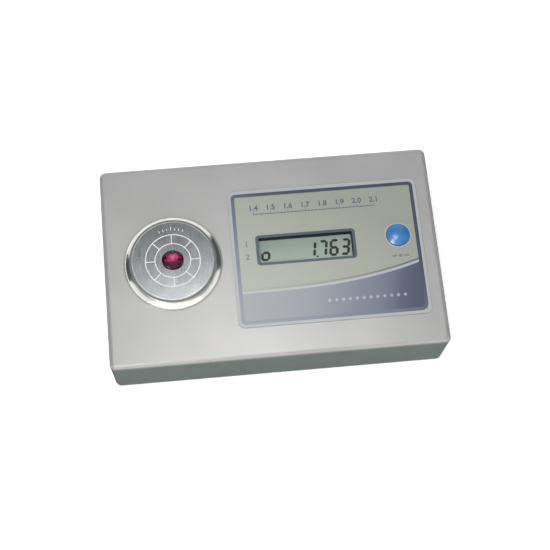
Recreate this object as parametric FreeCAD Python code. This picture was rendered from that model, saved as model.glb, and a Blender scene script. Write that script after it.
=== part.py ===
"""Digital gem refractometer: a flat desk instrument with a steel stone stage, a display and one key.

Millimetres. X runs along the case, Y towards its back, Z up. The origin is on the surface that the
instrument stands on, under the middle of the case.
"""
import FreeCAD, Part
import math
import os

Vector = FreeCAD.Vector
UP = Vector(0, 0, 1)

# ---------------------------------------------------------------- driving sizes
# Case
case_length = 145.0
case_width = 90.0
case_height = 29.0
side_wall = 2.2
top_wall = 2.4
corner_radius = 2.8
top_edge_radius = 2.0
low_edge_radius = 0.5
base_thickness = 3.0
base_gap = 0.2
boss_radius = 3.6
boss_inset_x = 5.4
boss_inset_y = 5.0
boss_web = 1.2

# Feet
foot_standing = 1.5
foot_radius = 5.0
foot_recess = 0.6
foot_gap = 0.15
foot_edge = 0.5
foot_inset_x = 10.5
foot_inset_y = 19.0

# Printed front label
label_length = 83.0
label_width = 62.5
label_centre = (24.5, -0.3)
label_corner = 2.8
label_thickness = 0.5
label_recess = 0.3
label_gap = 0.15

# Display window and glass
window_length = 41.0
window_width = 11.3
window_centre = (15.0, 2.6)
window_corner = 0.6
pane_overlap = 2.0
pane_thickness = 1.0
lcd_overlap_x = 4.5
lcd_overlap_y = 4.8
lcd_ledge = 2.5
lcd_glass_sheet = 1.1
film_thickness = 0.2
film_margin = 1.8
strip_height = 3.0
strip_width = 1.8
frame_wall = 1.5
frame_gap = 0.2
glass_corner = 0.3

# Test key and its switch
key_centre = (55.5, 4.7)
key_radius = 5.0
key_gap = 0.2
key_proud = 0.5
key_dome = 1.1
key_flange = 1.2
key_flange_height = 0.8
key_travel = 0.4
key_rest_gap = 0.1
switch_size = 6.0
switch_height = 2.5
switch_leg = 0.6
plunger_radius = 1.7
plunger_reach = 1.7
plunger_gap = 0.15

# Stone stage
stage_centre = (-42.8, 0.0)
gasket_thickness = 0.4
stage_radius = 21.1
stage_land = 0.5
bevel_rise = 2.2
bevel_width = 2.8
bevel_bulge = 0.35
plate_radius = 17.8
plate_thickness = 2.2
plate_step = 0.7
plate_edge = 0.5
seat_gap = 0.05
outer_line_radius = 11.7
inner_line_radius = 7.6
line_width = 0.4
line_depth = 0.12
line_spokes = 8
aperture_radius = 1.3
lens_radius = 2.95
lens_thickness = 1.2
barrel_outer = 15.0
barrel_wall = 3.0
barrel_length = 8.0
barrel_gap = 0.2
nut_radius = 18.5
nut_height = 3.5
nut_notches = 4

# Sensor under the stage
block_gap = 0.2
block_height = 10.6
beam_tilt = 18.0
lamp_radius = 1.5
lamp_height = 5.4
lamp_stand_off = 3.5
lamp_gap = 0.1
lamp_flange = 1.9
lamp_flange_height = 1.0
lead_radius = 0.25
lead_pitch = 1.27
sensor_board_length = 30.0
sensor_board_width = 24.0
sensor_board_thickness = 1.2
sensor_screw_inset = 2.8
cable_thickness = 0.8
cable_width = 6.0
cable_overlap = 2.2
cable_run_share = 0.29
cable_dip = 1.2

# Main circuit board
board_thickness = 1.6
post_frame_gap = 0.8
board_right = 65.0
board_front = -12.0
board_back = 32.5
board_corner = 1.5
post_radius = 3.0
post_inset = 3.5

resistor_count = 6
resistor_length = 6.2
resistor_radius = 1.1
resistor_edge = 0.3
resistor_wire = 0.3
resistor_pitch = 4.0
resistor_drop = 1.7

# Battery, its cover and its clip
battery_length = 46.4
battery_width = 26.5
battery_thickness = 17.5
battery_corner = 2.2
battery_from_wall = 2.2
battery_lift = 0.3
bay_left = -12.0
bay_side_room = 0.75
bay_clip_room = 7.1
bay_flat_room = 5.5
bay_rib = 1.4
bay_rib_height = 8.0
stop_reach = 2.0
stop_gap = 0.3
notch_radius = 5.0
notch_depth = 1.2
door_thickness = 2.2
door_gap = 0.3
grip_grooves = 5
grip_pitch = 2.0
grip_length = 12.0
grip_depth = 0.5
tab_width = 6.0
tab_reach = 3.0
tab_root = 2.0
tab_thickness = 1.2
tab_gap = 0.2
stud_height = 2.1
stud_spacing = 12.7
clip_length = 22.0
clip_width = 11.0
clip_thickness = 5.0
lead_wire_radius = 0.65
clip_gap = 0.3
clip_stud_gap = 0.2
stud_radii = (2.8, 3.7)
clip_corner = 3.0
pad_share = 0.8

# Screws
case_screw = {"shank": 1.5, "head": 2.8, "head_height": 1.6, "length": 9.0}
board_screw = {"shank": 1.25, "head": 2.3, "head_height": 1.5, "length": 5.4}
sensor_screw = {"shank": 1.0, "head": 1.8, "head_height": 1.2}
screw_gap = 0.2
thread_gap = 0.05

# Test stone
stone_length = 9.3
stone_width = 8.0
stone_crown = 1.3
stone_girdle = 0.25
stone_pavilion = 3.9
stone_crown_slope = 34.0
stone_star_slope = 20.0
stone_break_slope = 4.0
stone_mains = 8
stone_lift = 0.05

# ---------------------------------------------------------------- levels and places
base_low = foot_standing
base_top = base_low + base_thickness
case_top = foot_standing + case_height
ceiling = case_top - top_wall
label_floor = case_top - label_recess
label_top = label_floor + label_thickness
pane_floor = label_floor - pane_thickness
inner_radius = max(corner_radius - side_wall, 0.3)
inner_length = case_length - 2 * side_wall
inner_width = case_width - 2 * side_wall

lcd_length = window_length + 2 * lcd_overlap_x
lcd_width = window_width + 2 * lcd_overlap_y
frame_left = window_centre[0] - lcd_length / 2 - frame_gap - frame_wall
board_left = frame_left - post_frame_gap - post_radius - post_inset
glass_top = ceiling - film_thickness
glass_middle = glass_top - lcd_glass_sheet
glass_low = glass_middle - lcd_glass_sheet
board_top = glass_middle - strip_height
board_low = board_top - board_thickness
plunger_top = ceiling - key_rest_gap - key_flange_height

plate_low = case_top + gasket_thickness + stage_land + bevel_rise + plate_step - plate_thickness
plate_top = plate_low + plate_thickness
ring_top = plate_top - plate_step
barrel_inner = barrel_outer - barrel_wall
block_radius = barrel_inner - block_gap
sensor_screw_offset = block_radius - sensor_screw_inset
block_low = plate_low - block_height
sensor_low = block_low - sensor_board_thickness

bay_front = -case_width / 2 + side_wall + battery_from_wall - bay_side_room
bay_back = bay_front + battery_width + 2 * bay_side_room
bay_right = bay_left + bay_flat_room + battery_length + bay_clip_room
battery_left = bay_left + bay_flat_room
battery_right = battery_left + battery_length
battery_y = (bay_front + bay_back) / 2
battery_low = base_top + battery_lift
battery_top = battery_low + battery_thickness
battery_z = (battery_low + battery_top) / 2
tab_places = (battery_y - battery_width / 4, battery_y + battery_width / 4)

boss_places = []
foot_places = []
for side_x in (-1, 1):
    for side_y in (-1, 1):
        boss_x = side_x * (case_length / 2 - side_wall - boss_inset_x)
        boss_y = side_y * (case_width / 2 - side_wall - boss_inset_y)
        boss_places.append((boss_x, boss_y))
        foot_x = side_x * (case_length / 2 - foot_inset_x)
        foot_y = side_y * (case_width / 2 - foot_inset_y)
        foot_places.append((foot_x, foot_y))

post_places = []
for post_x in (board_left + post_inset, board_right - post_inset):
    for post_y in (board_front + post_inset, board_back - post_inset):
        post_places.append((post_x, post_y))


# ---------------------------------------------------------------- shared shapes
def block(x0, x1, y0, y1, z0, z1):
    """A box between two corners."""
    return Part.makeBox(x1 - x0, y1 - y0, z1 - z0, Vector(x0, y0, z0))


def rod(radius, z0, z1, place=(0.0, 0.0)):
    """An upright cylinder."""
    return Part.makeCylinder(radius, z1 - z0, Vector(place[0], place[1], z0), UP)


def ring(outer, inner, z0, z1, place=(0.0, 0.0)):
    """An upright tube."""
    return rod(outer, z0, z1, place).cut(rod(inner, z0 - 1, z1 + 1, place))


def joined(shapes):
    """One solid from touching shapes."""
    first = shapes[0]
    if len(shapes) > 1:
        first = first.multiFuse(shapes[1:])
    return first.removeSplitter()


def slab(length, width, z0, z1, corner, place=(0.0, 0.0)):
    """A plate with its four upright edges rounded."""
    hx = length / 2
    hy = width / 2
    cx, cy = place
    dip = corner * (1 - math.sqrt(0.5))
    edges = []
    turns = [(1, -1), (1, 1), (-1, 1), (-1, -1)]
    for index, (sx, sy) in enumerate(turns):
        along_x = Vector(cx + sx * (hx - corner), cy + sy * hy, z0)
        along_y = Vector(cx + sx * hx, cy + sy * (hy - corner), z0)
        middle = Vector(cx + sx * (hx - dip), cy + sy * (hy - dip), z0)
        if sx * sy < 0:
            start, end = along_x, along_y
        else:
            start, end = along_y, along_x
        if index:
            edges.append(Part.LineSegment(last, start).toShape())
        else:
            first = start
        edges.append(Part.Arc(start, middle, end).toShape())
        last = end
    edges.append(Part.LineSegment(last, first).toShape())
    return Part.Face(Part.Wire(edges)).extrude(Vector(0, 0, z1 - z0))


def edges_at_height(shape, height):
    """The edges of a shape that lie flat at one height."""
    found = []
    for edge in shape.Edges:
        box = edge.BoundBox
        if abs(box.ZMin - height) < 1e-6 and abs(box.ZMax - height) < 1e-6:
            found.append(edge)
    return found


def turned(points, place, arcs=()):
    """A turned solid from a profile of (radius, height) points.

    An entry (index, middle) in arcs bends the line that starts at that point through a middle point.
    """
    bends = dict(arcs)
    edges = []
    for index, point in enumerate(points):
        following = points[(index + 1) % len(points)]
        start = Vector(place[0] + point[0], place[1], point[1])
        end = Vector(place[0] + following[0], place[1], following[1])
        if index in bends:
            middle = Vector(place[0] + bends[index][0], place[1], bends[index][1])
            edges.append(Part.Arc(start, middle, end).toShape())
        else:
            edges.append(Part.LineSegment(start, end).toShape())
    face = Part.Face(Part.Wire(edges))
    return face.revolve(Vector(place[0], place[1], 0), UP, 360)


def screw(sizes, length, place, head_low):
    """A cross-head screw whose head faces down and whose shank points up."""
    head_high = head_low + sizes["head_height"]
    body = rod(sizes["head"], head_low, head_high, place)
    body = body.makeFillet(0.3 * sizes["head_height"], edges_at_height(body, head_low))
    body = body.fuse(rod(sizes["shank"], head_high, head_high + length, place))
    arm = 0.6 * sizes["head"]
    slot = 0.14 * sizes["head"]
    deep = head_low + 0.55 * sizes["head_height"]
    x, y = place
    body = body.cut(block(x - arm, x + arm, y - slot, y + slot, head_low - 1, deep))
    return body.cut(block(x - slot, x + slot, y - arm, y + arm, head_low - 1, deep))


def rounded_path(points, name):
    """A wire through the points, straight runs joined by the largest tangent arcs."""
    corners = []
    radii = []
    for before, point, after in zip(points, points[1:], points[2:]):
        back = before - point
        ahead = after - point
        turn = math.pi - back.getAngle(ahead)
        cut = 0.45 * min(back.Length, ahead.Length)
        radii.append(round(cut / math.tan(turn / 2), 2))
        back.normalize()
        ahead.normalize()
        start = point + back * cut
        end = point + ahead * cut
        bisector = (back + ahead).normalize()
        radius = cut / math.tan(turn / 2)
        centre_distance = math.hypot(radius, cut)
        middle = point + bisector * (centre_distance - radius)
        corners.append((start, middle, end))
    edges = []
    last = points[0]
    for start, middle, end in corners:
        edges.append(Part.LineSegment(last, start).toShape())
        edges.append(Part.Arc(start, middle, end).toShape())
        last = end
    edges.append(Part.LineSegment(last, points[-1]).toShape())
    wire = Part.Wire(edges)
    print(name, "bend radii", radii, "length", round(wire.Length, 2))
    return wire


def tube_along(points, radius, name):
    """A round lead along a path."""
    path = rounded_path(points, name)
    first = Part.Circle(points[0], points[1] - points[0], radius).toShape()
    solid = path.makePipeShell([Part.Wire(first)], True, False)
    print(name, "volume ratio", round(solid.Volume / (math.pi * radius ** 2 * path.Length), 4))
    return solid


# ---------------------------------------------------------------- case
def case_shell():
    """The painted top half: roof, four walls, screw bosses and board posts in one moulding."""
    body = slab(case_length, case_width, base_low, case_top, corner_radius)
    body = body.makeFillet(top_edge_radius, edges_at_height(body, case_top))
    body = body.makeFillet(low_edge_radius, edges_at_height(body, base_low))
    body = body.cut(slab(inner_length, inner_width, base_low - 1, ceiling, inner_radius))
    extras = []
    for x, y in boss_places:
        side_x = math.copysign(1, x)
        side_y = math.copysign(1, y)
        wall_x = side_x * (inner_length / 2 + 0.5 * side_wall)
        wall_y = side_y * (inner_width / 2 + 0.5 * side_wall)
        extras.append(rod(boss_radius, base_top, ceiling + 0.5 * top_wall, (x, y)))
        extras.append(block(min(x, wall_x), max(x, wall_x), y - boss_web / 2, y + boss_web / 2,
                            base_top, ceiling + 0.5 * top_wall))
        extras.append(block(x - boss_web / 2, x + boss_web / 2, min(y, wall_y), max(y, wall_y),
                            base_top, ceiling + 0.5 * top_wall))
    for place in post_places:
        extras.append(rod(post_radius, board_top, ceiling + 0.5 * top_wall, place))
    body = joined([body] + extras)
    for place in boss_places:
        depth = case_screw["length"] + 1.0
        body = body.cut(rod(case_screw["shank"] + thread_gap, base_top - 1, base_top + depth, place))
    for place in post_places:
        body = body.cut(rod(board_screw["shank"] + thread_gap, board_top - 1, ceiling, place))
    body = body.cut(slab(label_length + 2 * label_gap, label_width + 2 * label_gap, label_floor,
                         case_top + 1, label_corner + label_gap, label_centre))
    body = body.cut(slab(window_length + 2 * (pane_overlap + label_gap),
                         window_width + 2 * (pane_overlap + label_gap),
                         pane_floor, case_top, window_corner + label_gap, window_centre))
    body = body.cut(slab(window_length, window_width, ceiling - 1, case_top, window_corner, window_centre))
    body = body.cut(rod(key_radius + key_gap, ceiling - 1, case_top, key_centre))
    return body.cut(rod(barrel_outer + barrel_gap, ceiling - 1, case_top + 1, stage_centre))


def base_plate():
    """The underside: a flat plate inside the walls, with the battery bay and its ribs."""
    body = slab(inner_length - 2 * base_gap, inner_width - 2 * base_gap, base_low, base_top, inner_radius)
    rib_high = base_top + bay_rib_height
    back_rib = block(battery_left, battery_right, bay_back, bay_back + bay_rib, base_top, rib_high)
    front_edge = -inner_width / 2 + base_gap
    front_rib = block(battery_left, battery_right, front_edge, bay_front, base_top, rib_high)
    stop_low = base_top + tab_gap + tab_thickness + tab_reach
    reach = bay_side_room + stop_reach
    stop_x1 = battery_left - stop_gap
    stop_x0 = stop_x1 - bay_rib
    extras = [back_rib, front_rib]
    for y0, y1, root_0, root_1 in (
            (bay_back - reach, bay_back + bay_rib, bay_back, bay_back + bay_rib),
            (front_edge, bay_front + reach, front_edge, bay_front)):
        extras.append(block(stop_x0, stop_x1, y0, y1, stop_low, rib_high))
        extras.append(block(stop_x0, battery_left, root_0, root_1, base_top, rib_high))
    body = joined([body] + extras)
    body = body.cut(block(bay_left, bay_right, bay_front, bay_back, base_low - 1, base_top))
    for place in boss_places:
        body = body.cut(rod(case_screw["shank"] + screw_gap, base_low - 1, base_top + 1, place))
        sink = base_low + case_screw["head_height"] + thread_gap
        body = body.cut(rod(case_screw["head"] + screw_gap, base_low - 1, sink, place))
    for place in foot_places:
        body = body.cut(rod(foot_radius + foot_gap, base_low - 1, base_low + foot_recess, place))
    return body.cut(rod(notch_radius, base_low - 1, base_low + notch_depth, (bay_right, battery_y)))


def case_screws():
    """Four screws that hold the base plate to the shell's bosses."""
    head_low = base_low + thread_gap
    return [screw(case_screw, case_screw["length"], place, head_low) for place in boss_places]


def rubber_feet():
    """Four round feet set into the base plate."""
    feet = []
    for place in foot_places:
        foot = rod(foot_radius, 0.0, base_low + foot_recess, place)
        feet.append(foot.makeFillet(foot_edge, edges_at_height(foot, 0.0)))
    return feet


# ---------------------------------------------------------------- label, display and key
def front_label():
    """The printed plastic sheet in the shell's recess, with a window and a hole for the key."""
    body = slab(label_length, label_width, label_floor, label_top, label_corner, label_centre)
    body = body.cut(slab(window_length, window_width, label_floor - 1, label_top + 1,
                         window_corner, window_centre))
    return body.cut(rod(key_radius + key_gap, label_floor - 1, label_top + 1, key_centre))


def display_window():
    """The clear pane that the label holds down over the display."""
    return slab(window_length + 2 * pane_overlap, window_width + 2 * pane_overlap,
                pane_floor, label_floor, window_corner, window_centre)


def lcd_front_film():
    """The polarising film on top of the display glass."""
    return slab(window_length + 2 * film_margin, window_width + 2 * film_margin,
                glass_top, ceiling, glass_corner, window_centre)


def lcd_glass():
    """Two bonded sheets of glass; the upper one is wider and carries the contacts."""
    upper = slab(lcd_length, lcd_width, glass_middle, glass_top, glass_corner, window_centre)
    lower = slab(lcd_length, lcd_width - 2 * lcd_ledge, glass_low, glass_middle, glass_corner, window_centre)
    return joined([upper, lower])


def lcd_reflector():
    """The silvered film under the display glass."""
    return slab(window_length + 2 * film_margin, window_width + 2 * film_margin,
                glass_low - film_thickness, glass_low, glass_corner, window_centre)


def contact_strips():
    """Two rubber contact strips from the glass ledges down to the board."""
    strips = []
    offset = lcd_width / 2 - lcd_ledge / 2
    for side in (-1, 1):
        x, y = window_centre
        middle = y + side * offset
        strips.append(block(x - lcd_length / 2 + 1, x + lcd_length / 2 - 1,
                            middle - strip_width / 2, middle + strip_width / 2, board_top, glass_middle))
    return strips


def lcd_frame():
    """The plastic frame that keeps the glass and the strips in place on the board."""
    well_length = lcd_length + 2 * frame_gap
    well_width = lcd_width + 2 * frame_gap
    outer = slab(well_length + 2 * frame_wall, well_width + 2 * frame_wall,
                 board_top, ceiling - frame_gap, glass_corner + frame_wall, window_centre)
    well = slab(well_length, well_width, board_top - 1, ceiling + 1, glass_corner, window_centre)
    x, y = window_centre
    parts = [outer.cut(well)]
    rail_y = lcd_width / 2 - lcd_ledge - frame_gap
    for side in (-1, 1):
        low = min(side * rail_y, side * (rail_y - frame_wall))
        rail = block(x - lcd_length / 2 - frame_wall, x + lcd_length / 2 + frame_wall,
                     y + low, y + low + frame_wall, board_top, glass_low - film_thickness)
        parts.append(rail)
    return joined(parts)


def test_key():
    """The round key: a domed cap with a flange that stops it under the roof."""
    bottom = plunger_top
    rim = label_top + key_proud
    peak = rim + key_dome
    sphere = (key_radius ** 2 + key_dome ** 2) / (2 * key_dome)
    half_radius = key_radius * 0.5
    bend = (half_radius, peak - sphere + math.sqrt(sphere ** 2 - half_radius ** 2))
    flange = key_radius + key_flange
    points = [(0, bottom), (flange, bottom), (flange, bottom + key_flange_height),
              (key_radius, bottom + key_flange_height), (key_radius, rim), (0, peak)]
    return turned(points, key_centre, [(4, bend)])


def switch_plunger():
    """The moving pin of the push switch, under the key."""
    return rod(plunger_radius, plunger_top - plunger_reach, plunger_top, key_centre)


def switch_body():
    """The square push switch on the board, with its four legs and the plunger's hole."""
    x, y = key_centre
    half = switch_size / 2
    body = block(x - half, x + half, y - half, y + half, board_top, board_top + switch_height)
    for side_x in (-1, 1):
        for side_y in (-1, 1):
            leg_x = x + side_x * half
            leg_y = y + side_y * 0.75 * half
            leg = block(leg_x - 2 * switch_leg, leg_x + 2 * switch_leg, leg_y - switch_leg / 2,
                        leg_y + switch_leg / 2, board_top, board_top + switch_leg)
            body = body.fuse(leg)
    hole_floor = plunger_top - plunger_reach - key_travel - key_rest_gap
    return body.cut(rod(plunger_radius + plunger_gap, hole_floor, board_top + switch_height + 1, key_centre))


# ---------------------------------------------------------------- stage
def stage_gasket():
    """The thin black washer between the stage ring and the roof."""
    return ring(stage_radius - 0.5, barrel_outer + barrel_gap, case_top, case_top + gasket_thickness,
                stage_centre)


def stage_ring():
    """The polished ring: a convex bevel outside, the plate's seat inside and a barrel through the roof."""
    low = case_top + gasket_thickness
    bevel_low = low + stage_land
    bevel_inner = stage_radius - bevel_width
    chord = math.hypot(bevel_width, bevel_rise)
    middle = (stage_radius - bevel_width / 2 + bevel_bulge * bevel_rise / chord,
              bevel_low + bevel_rise / 2 + bevel_bulge * bevel_width / chord)
    seat = plate_radius + seat_gap
    barrel_low = case_top - barrel_length
    points = [(barrel_inner, barrel_low), (barrel_outer, barrel_low), (barrel_outer, low),
              (stage_radius, low), (stage_radius, bevel_low), (bevel_inner, ring_top),
              (seat, ring_top), (seat, plate_low), (barrel_inner, plate_low)]
    return turned(points, stage_centre, [(4, middle)])


def stage_plate():
    """The brushed plate: two engraved rings, eight engraved spokes and the light hole in the middle."""
    body = rod(plate_radius, plate_low, plate_top, stage_centre)
    body = body.makeFillet(plate_edge, edges_at_height(body, plate_top))
    floor = plate_top - line_depth
    half = line_width / 2
    cuts = []
    for radius in (outer_line_radius, inner_line_radius):
        cuts.append(ring(radius + half, radius - half, floor, plate_top + 1, stage_centre))
    x, y = stage_centre
    spoke = block(x + inner_line_radius, x + outer_line_radius, y - half, y + half, floor, plate_top + 1)
    for index in range(line_spokes):
        turned_spoke = spoke.copy()
        turned_spoke.rotate(Vector(x, y, 0), UP, index * 360.0 / line_spokes)
        cuts.append(turned_spoke)
    cuts.append(rod(aperture_radius, plate_low - 1, plate_top + 1, stage_centre))
    cuts.append(rod(lens_radius + seat_gap, plate_low - 1, plate_low + lens_thickness, stage_centre))
    for place in sensor_screw_places():
        cuts.append(rod(sensor_screw["shank"] + thread_gap, plate_low - 1, plate_low + lens_thickness, place))
    return body.cut(cuts)


def stage_lens():
    """The small glass disc under the light hole."""
    return rod(lens_radius, plate_low, plate_low + lens_thickness, stage_centre)


def stage_nut():
    """The ring nut that clamps the stage ring from inside the case."""
    body = ring(nut_radius, barrel_outer + thread_gap, ceiling - nut_height, ceiling, stage_centre)
    x, y = stage_centre
    notch = block(x + nut_radius - 1.8, x + nut_radius + 1, y - 1.5, y + 1.5,
                  ceiling - nut_height - 1, ceiling + 1)
    for index in range(nut_notches):
        turned_notch = notch.copy()
        turned_notch.rotate(Vector(x, y, 0), UP, 45 + index * 360.0 / nut_notches)
        body = body.cut(turned_notch)
    return body


# ---------------------------------------------------------------- sensor under the stage
def sensor_screw_places():
    """The two screws lie on the stage's front-to-back line."""
    x, y = stage_centre
    return [(x, y - sensor_screw_offset), (x, y + sensor_screw_offset)]


def tilted(shape, side):
    """Turn a shape built around the stage's axis so that its beam meets that axis at the light hole."""
    x, y = stage_centre
    leaning = shape.copy()
    leaning.rotate(Vector(x, y, plate_low), Vector(0, 1, 0), side * beam_tilt)
    return leaning


def lamp_levels():
    """Heights of a lamp's foot and tip before it is tilted."""
    tip = plate_low - lamp_stand_off
    return tip - lamp_height, tip


def optical_block():
    """The black block that holds the lamp and the detector, each in its own slanting bore."""
    foot, _ = lamp_levels()
    body = rod(block_radius, block_low, plate_low, stage_centre)
    for side in (-1, 1):
        bore = rod(lamp_radius + lamp_gap, foot - 0.5, plate_low + 2, stage_centre)
        wide = rod(lamp_flange + lamp_gap, block_low - 4, foot + lamp_flange_height + 0.05, stage_centre)
        body = body.cut(tilted(bore.fuse(wide), side))
    for place in sensor_screw_places():
        body = body.cut(rod(sensor_screw["shank"] + screw_gap, block_low - 1, plate_low + 1, place))
    return body


def lamp(side):
    """A round-nosed lamp with a flange and two leads, tilted towards the light hole."""
    foot, tip = lamp_levels()
    x, y = stage_centre
    body = rod(lamp_radius, foot, tip - lamp_radius, stage_centre)
    body = body.fuse(Part.makeSphere(lamp_radius, Vector(x, y, tip - lamp_radius)))
    body = body.fuse(rod(lamp_flange, foot, foot + lamp_flange_height, stage_centre))
    for lead_side in (-1, 1):
        place = (x, y + lead_side * lead_pitch)
        body = body.fuse(rod(lead_radius, sensor_low - 4, foot + 0.2, place))
    body = tilted(body.removeSplitter(), side)
    below = block(x - 30, x + 30, y - 30, y + 30, sensor_low - 20, sensor_low - 0.8)
    return body.cut(below)


def infrared_emitter():
    """The lamp that lights the stone from below."""
    return lamp(-1)


def photo_detector():
    """The detector that reads the reflected light."""
    return lamp(1)


def sensor_board():
    """The small board under the optical block, drilled for the leads and the screws."""
    body = slab(sensor_board_length, sensor_board_width, sensor_low, block_low, board_corner, stage_centre)
    x, y = stage_centre
    for side in (-1, 1):
        for lead_side in (-1, 1):
            place = (x, y + lead_side * lead_pitch)
            body = body.cut(tilted(rod(lead_radius + lamp_gap, sensor_low - 8, plate_low, place), side))
    for place in sensor_screw_places():
        body = body.cut(rod(sensor_screw["shank"] + screw_gap, sensor_low - 1, block_low + 1, place))
    return body


def sensor_screws():
    """Two long screws through the sensor board and the block into the stage plate."""
    length = plate_low + lens_thickness - 0.2 - sensor_low
    head_low = sensor_low - sensor_screw["head_height"]
    return [screw(sensor_screw, length, place, head_low) for place in sensor_screw_places()]


def sensor_cable():
    """The flat cable from the sensor board to the underside of the main board."""
    half = cable_thickness / 2
    wide = cable_width / 2
    start_x = stage_centre[0] + sensor_board_length / 2 - cable_overlap
    end_x = board_left + cable_overlap
    y = stage_centre[1]
    run = cable_run_share * (end_x - start_x)
    points = [
        Vector(start_x, y, block_low + half),
        Vector(start_x + run, y, block_low + half),
        Vector((start_x + end_x) / 2, y, block_low + half - cable_dip),
        Vector(end_x - run, y, board_low - half),
        Vector(end_x, y, board_low - half),
    ]
    path = rounded_path(points, "sensor cable")
    section = Part.makePolygon([
        Vector(start_x, y - wide, block_low), Vector(start_x, y + wide, block_low),
        Vector(start_x, y + wide, block_low + 2 * half), Vector(start_x, y - wide, block_low + 2 * half),
        Vector(start_x, y - wide, block_low)])
    return path.makePipeShell([section], True, False)


# ---------------------------------------------------------------- main board
def main_board():
    """The circuit board that hangs from the roof's posts."""
    length = board_right - board_left
    width = board_back - board_front
    centre = ((board_left + board_right) / 2, (board_front + board_back) / 2)
    body = slab(length, width, board_low, board_top, board_corner, centre)
    for place in post_places:
        body = body.cut(rod(board_screw["shank"] + screw_gap, board_low - 1, board_top + 1, place))
    return body


def board_screws():
    """Four screws that hold the board to the posts."""
    head_low = board_low - board_screw["head_height"]
    return [screw(board_screw, board_screw["length"], place, head_low) for place in post_places]


def chip(centre, pins, width, thickness):
    """A two-row chip that hangs under the board on its legs."""
    pitch = 2.54
    length = pins / 2 * pitch + 0.6
    x, y = centre
    top = board_low - 0.5
    parts = [block(x - length / 2, x + length / 2, y - width / 2, y + width / 2, top - thickness, top)]
    for index in range(pins // 2):
        leg_x = x + (index - (pins / 2 - 1) / 2) * pitch
        for side in (-1, 1):
            y0 = y + side * (width / 2 - 0.3)
            y1 = y + side * (width / 2 + 0.5)
            shoulder = block(leg_x - 0.6, leg_x + 0.6, min(y0, y1), max(y0, y1),
                             top - thickness / 2 - 0.15, top - thickness / 2 + 0.15)
            y2 = y + side * (width / 2 + 0.2)
            leg = block(leg_x - 0.6, leg_x + 0.6, min(y1, y2), max(y1, y2),
                        top - thickness / 2, board_low)
            parts += [shoulder, leg]
    body = joined(parts)
    dimple = rod(0.8, top - thickness - 1, top - thickness + 0.2, (x - length / 2 + 1.8, y))
    return body.cut(dimple)


def microcontroller():
    """The processor."""
    return chip((board_left + 33.0, board_back - 12.0), 28, 9.4, 3.6)


def amplifier_chip():
    """The detector's amplifier, near the sensor cable."""
    return chip((board_left + 12.5, board_back - 22.5), 8, 6.4, 3.4)


def standing_can(place, radius, height, pitch):
    """A round can that hangs under the board on two leads."""
    top = board_low - 0.4
    body = rod(radius, top - height, top, place)
    body = body.makeFillet(0.4, edges_at_height(body, top - height))
    for side in (-1, 1):
        lead = rod(0.3, top - 0.2, board_low, (place[0] + side * pitch / 2, place[1]))
        body = body.fuse(lead)
    return body


def capacitors():
    """Three round capacitors."""
    back = board_back - 6.5
    return [standing_can((board_left + 5.5, back - 6.0), 3.15, 9.0, 2.5),
            standing_can((board_right - 17.0, back - 1.0), 3.15, 9.0, 2.5),
            standing_can((board_right - 9.0, back - 12.0), 2.5, 7.0, 2.0)]


def crystal():
    """The clock crystal in its oval can."""
    place = (board_left + 57.5, board_back - 15.0)
    top = board_low - 0.4
    body = slab(11.0, 4.6, top - 3.5, top, 2.25, place)
    for side in (-1, 1):
        body = body.fuse(rod(0.3, top - 0.2, board_low, (place[0] + side * 2.44, place[1])))
    return body


def resistors():
    """Six wire-ended resistors in a row along the board, each on one bent wire."""
    level = board_low - resistor_drop
    x = board_left + 24.0
    y = board_back - 28.0
    reach = 0.75 * resistor_length
    points = [Vector(x, y - reach, board_low), Vector(x, y - reach, level),
              Vector(x, y + reach, level), Vector(x, y + reach, board_low)]
    wire = tube_along(points, resistor_wire, "resistor wire")
    start = Vector(x, y - resistor_length / 2, level)
    body = Part.makeCylinder(resistor_radius, resistor_length, start, Vector(0, 1, 0))
    body = body.makeFillet(resistor_edge, [edge for edge in body.Edges if edge.BoundBox.YLength < 1e-6])
    first = body.fuse(wire)
    found = []
    for index in range(resistor_count):
        copy = first.copy()
        copy.translate(Vector(index * resistor_pitch, 0, 0))
        found.append(copy)
    return found


def voltage_regulator():
    """The half-round regulator with three legs."""
    x = board_right - 20.0
    y = board_back - 28.0
    top = board_low - 2.5
    body = rod(2.4, top - 4.7, top, (x, y))
    body = body.cut(block(x - 3, x + 3, y + 1.3, y + 3, top - 6, top + 1))
    for index in (-1, 0, 1):
        body = body.fuse(rod(0.25, top - 0.3, board_low, (x + 1.27 * index, y)))
    return body


# ---------------------------------------------------------------- battery
def battery():
    """The block battery lying on its side over its cover."""
    body = block(battery_left, battery_right, battery_y - battery_width / 2, battery_y + battery_width / 2,
                 battery_low, battery_top)
    long_edges = []
    for edge in body.Edges:
        if edge.BoundBox.XLength > battery_length / 2:
            long_edges.append(edge)
    return body.makeFillet(battery_corner, long_edges)


def stud_places():
    """The two contacts lie across the end of the battery."""
    return [battery_y - stud_spacing / 2, battery_y + stud_spacing / 2]


def battery_studs():
    """The small and the large contact on the end of the battery."""
    studs = []
    for y, radius in zip(stud_places(), stud_radii):
        studs.append(Part.makeCylinder(radius, stud_height, Vector(battery_right, y, battery_z),
                                       Vector(1, 0, 0)))
    return studs


def battery_clip():
    """The moulded clip that snaps onto both contacts."""
    x0 = battery_right + clip_gap
    body = block(x0, x0 + clip_thickness, battery_y - clip_length / 2, battery_y + clip_length / 2,
                 battery_z - clip_width / 2, battery_z + clip_width / 2)
    edges = [edge for edge in body.Edges if edge.BoundBox.XLength > clip_thickness / 2]
    body = body.makeFillet(clip_corner, edges)
    for y, radius in zip(stud_places(), stud_radii):
        body = body.cut(Part.makeCylinder(radius + clip_stud_gap, stud_height + clip_stud_gap,
                                          Vector(battery_right, y, battery_z), Vector(1, 0, 0)))
    return body


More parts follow.
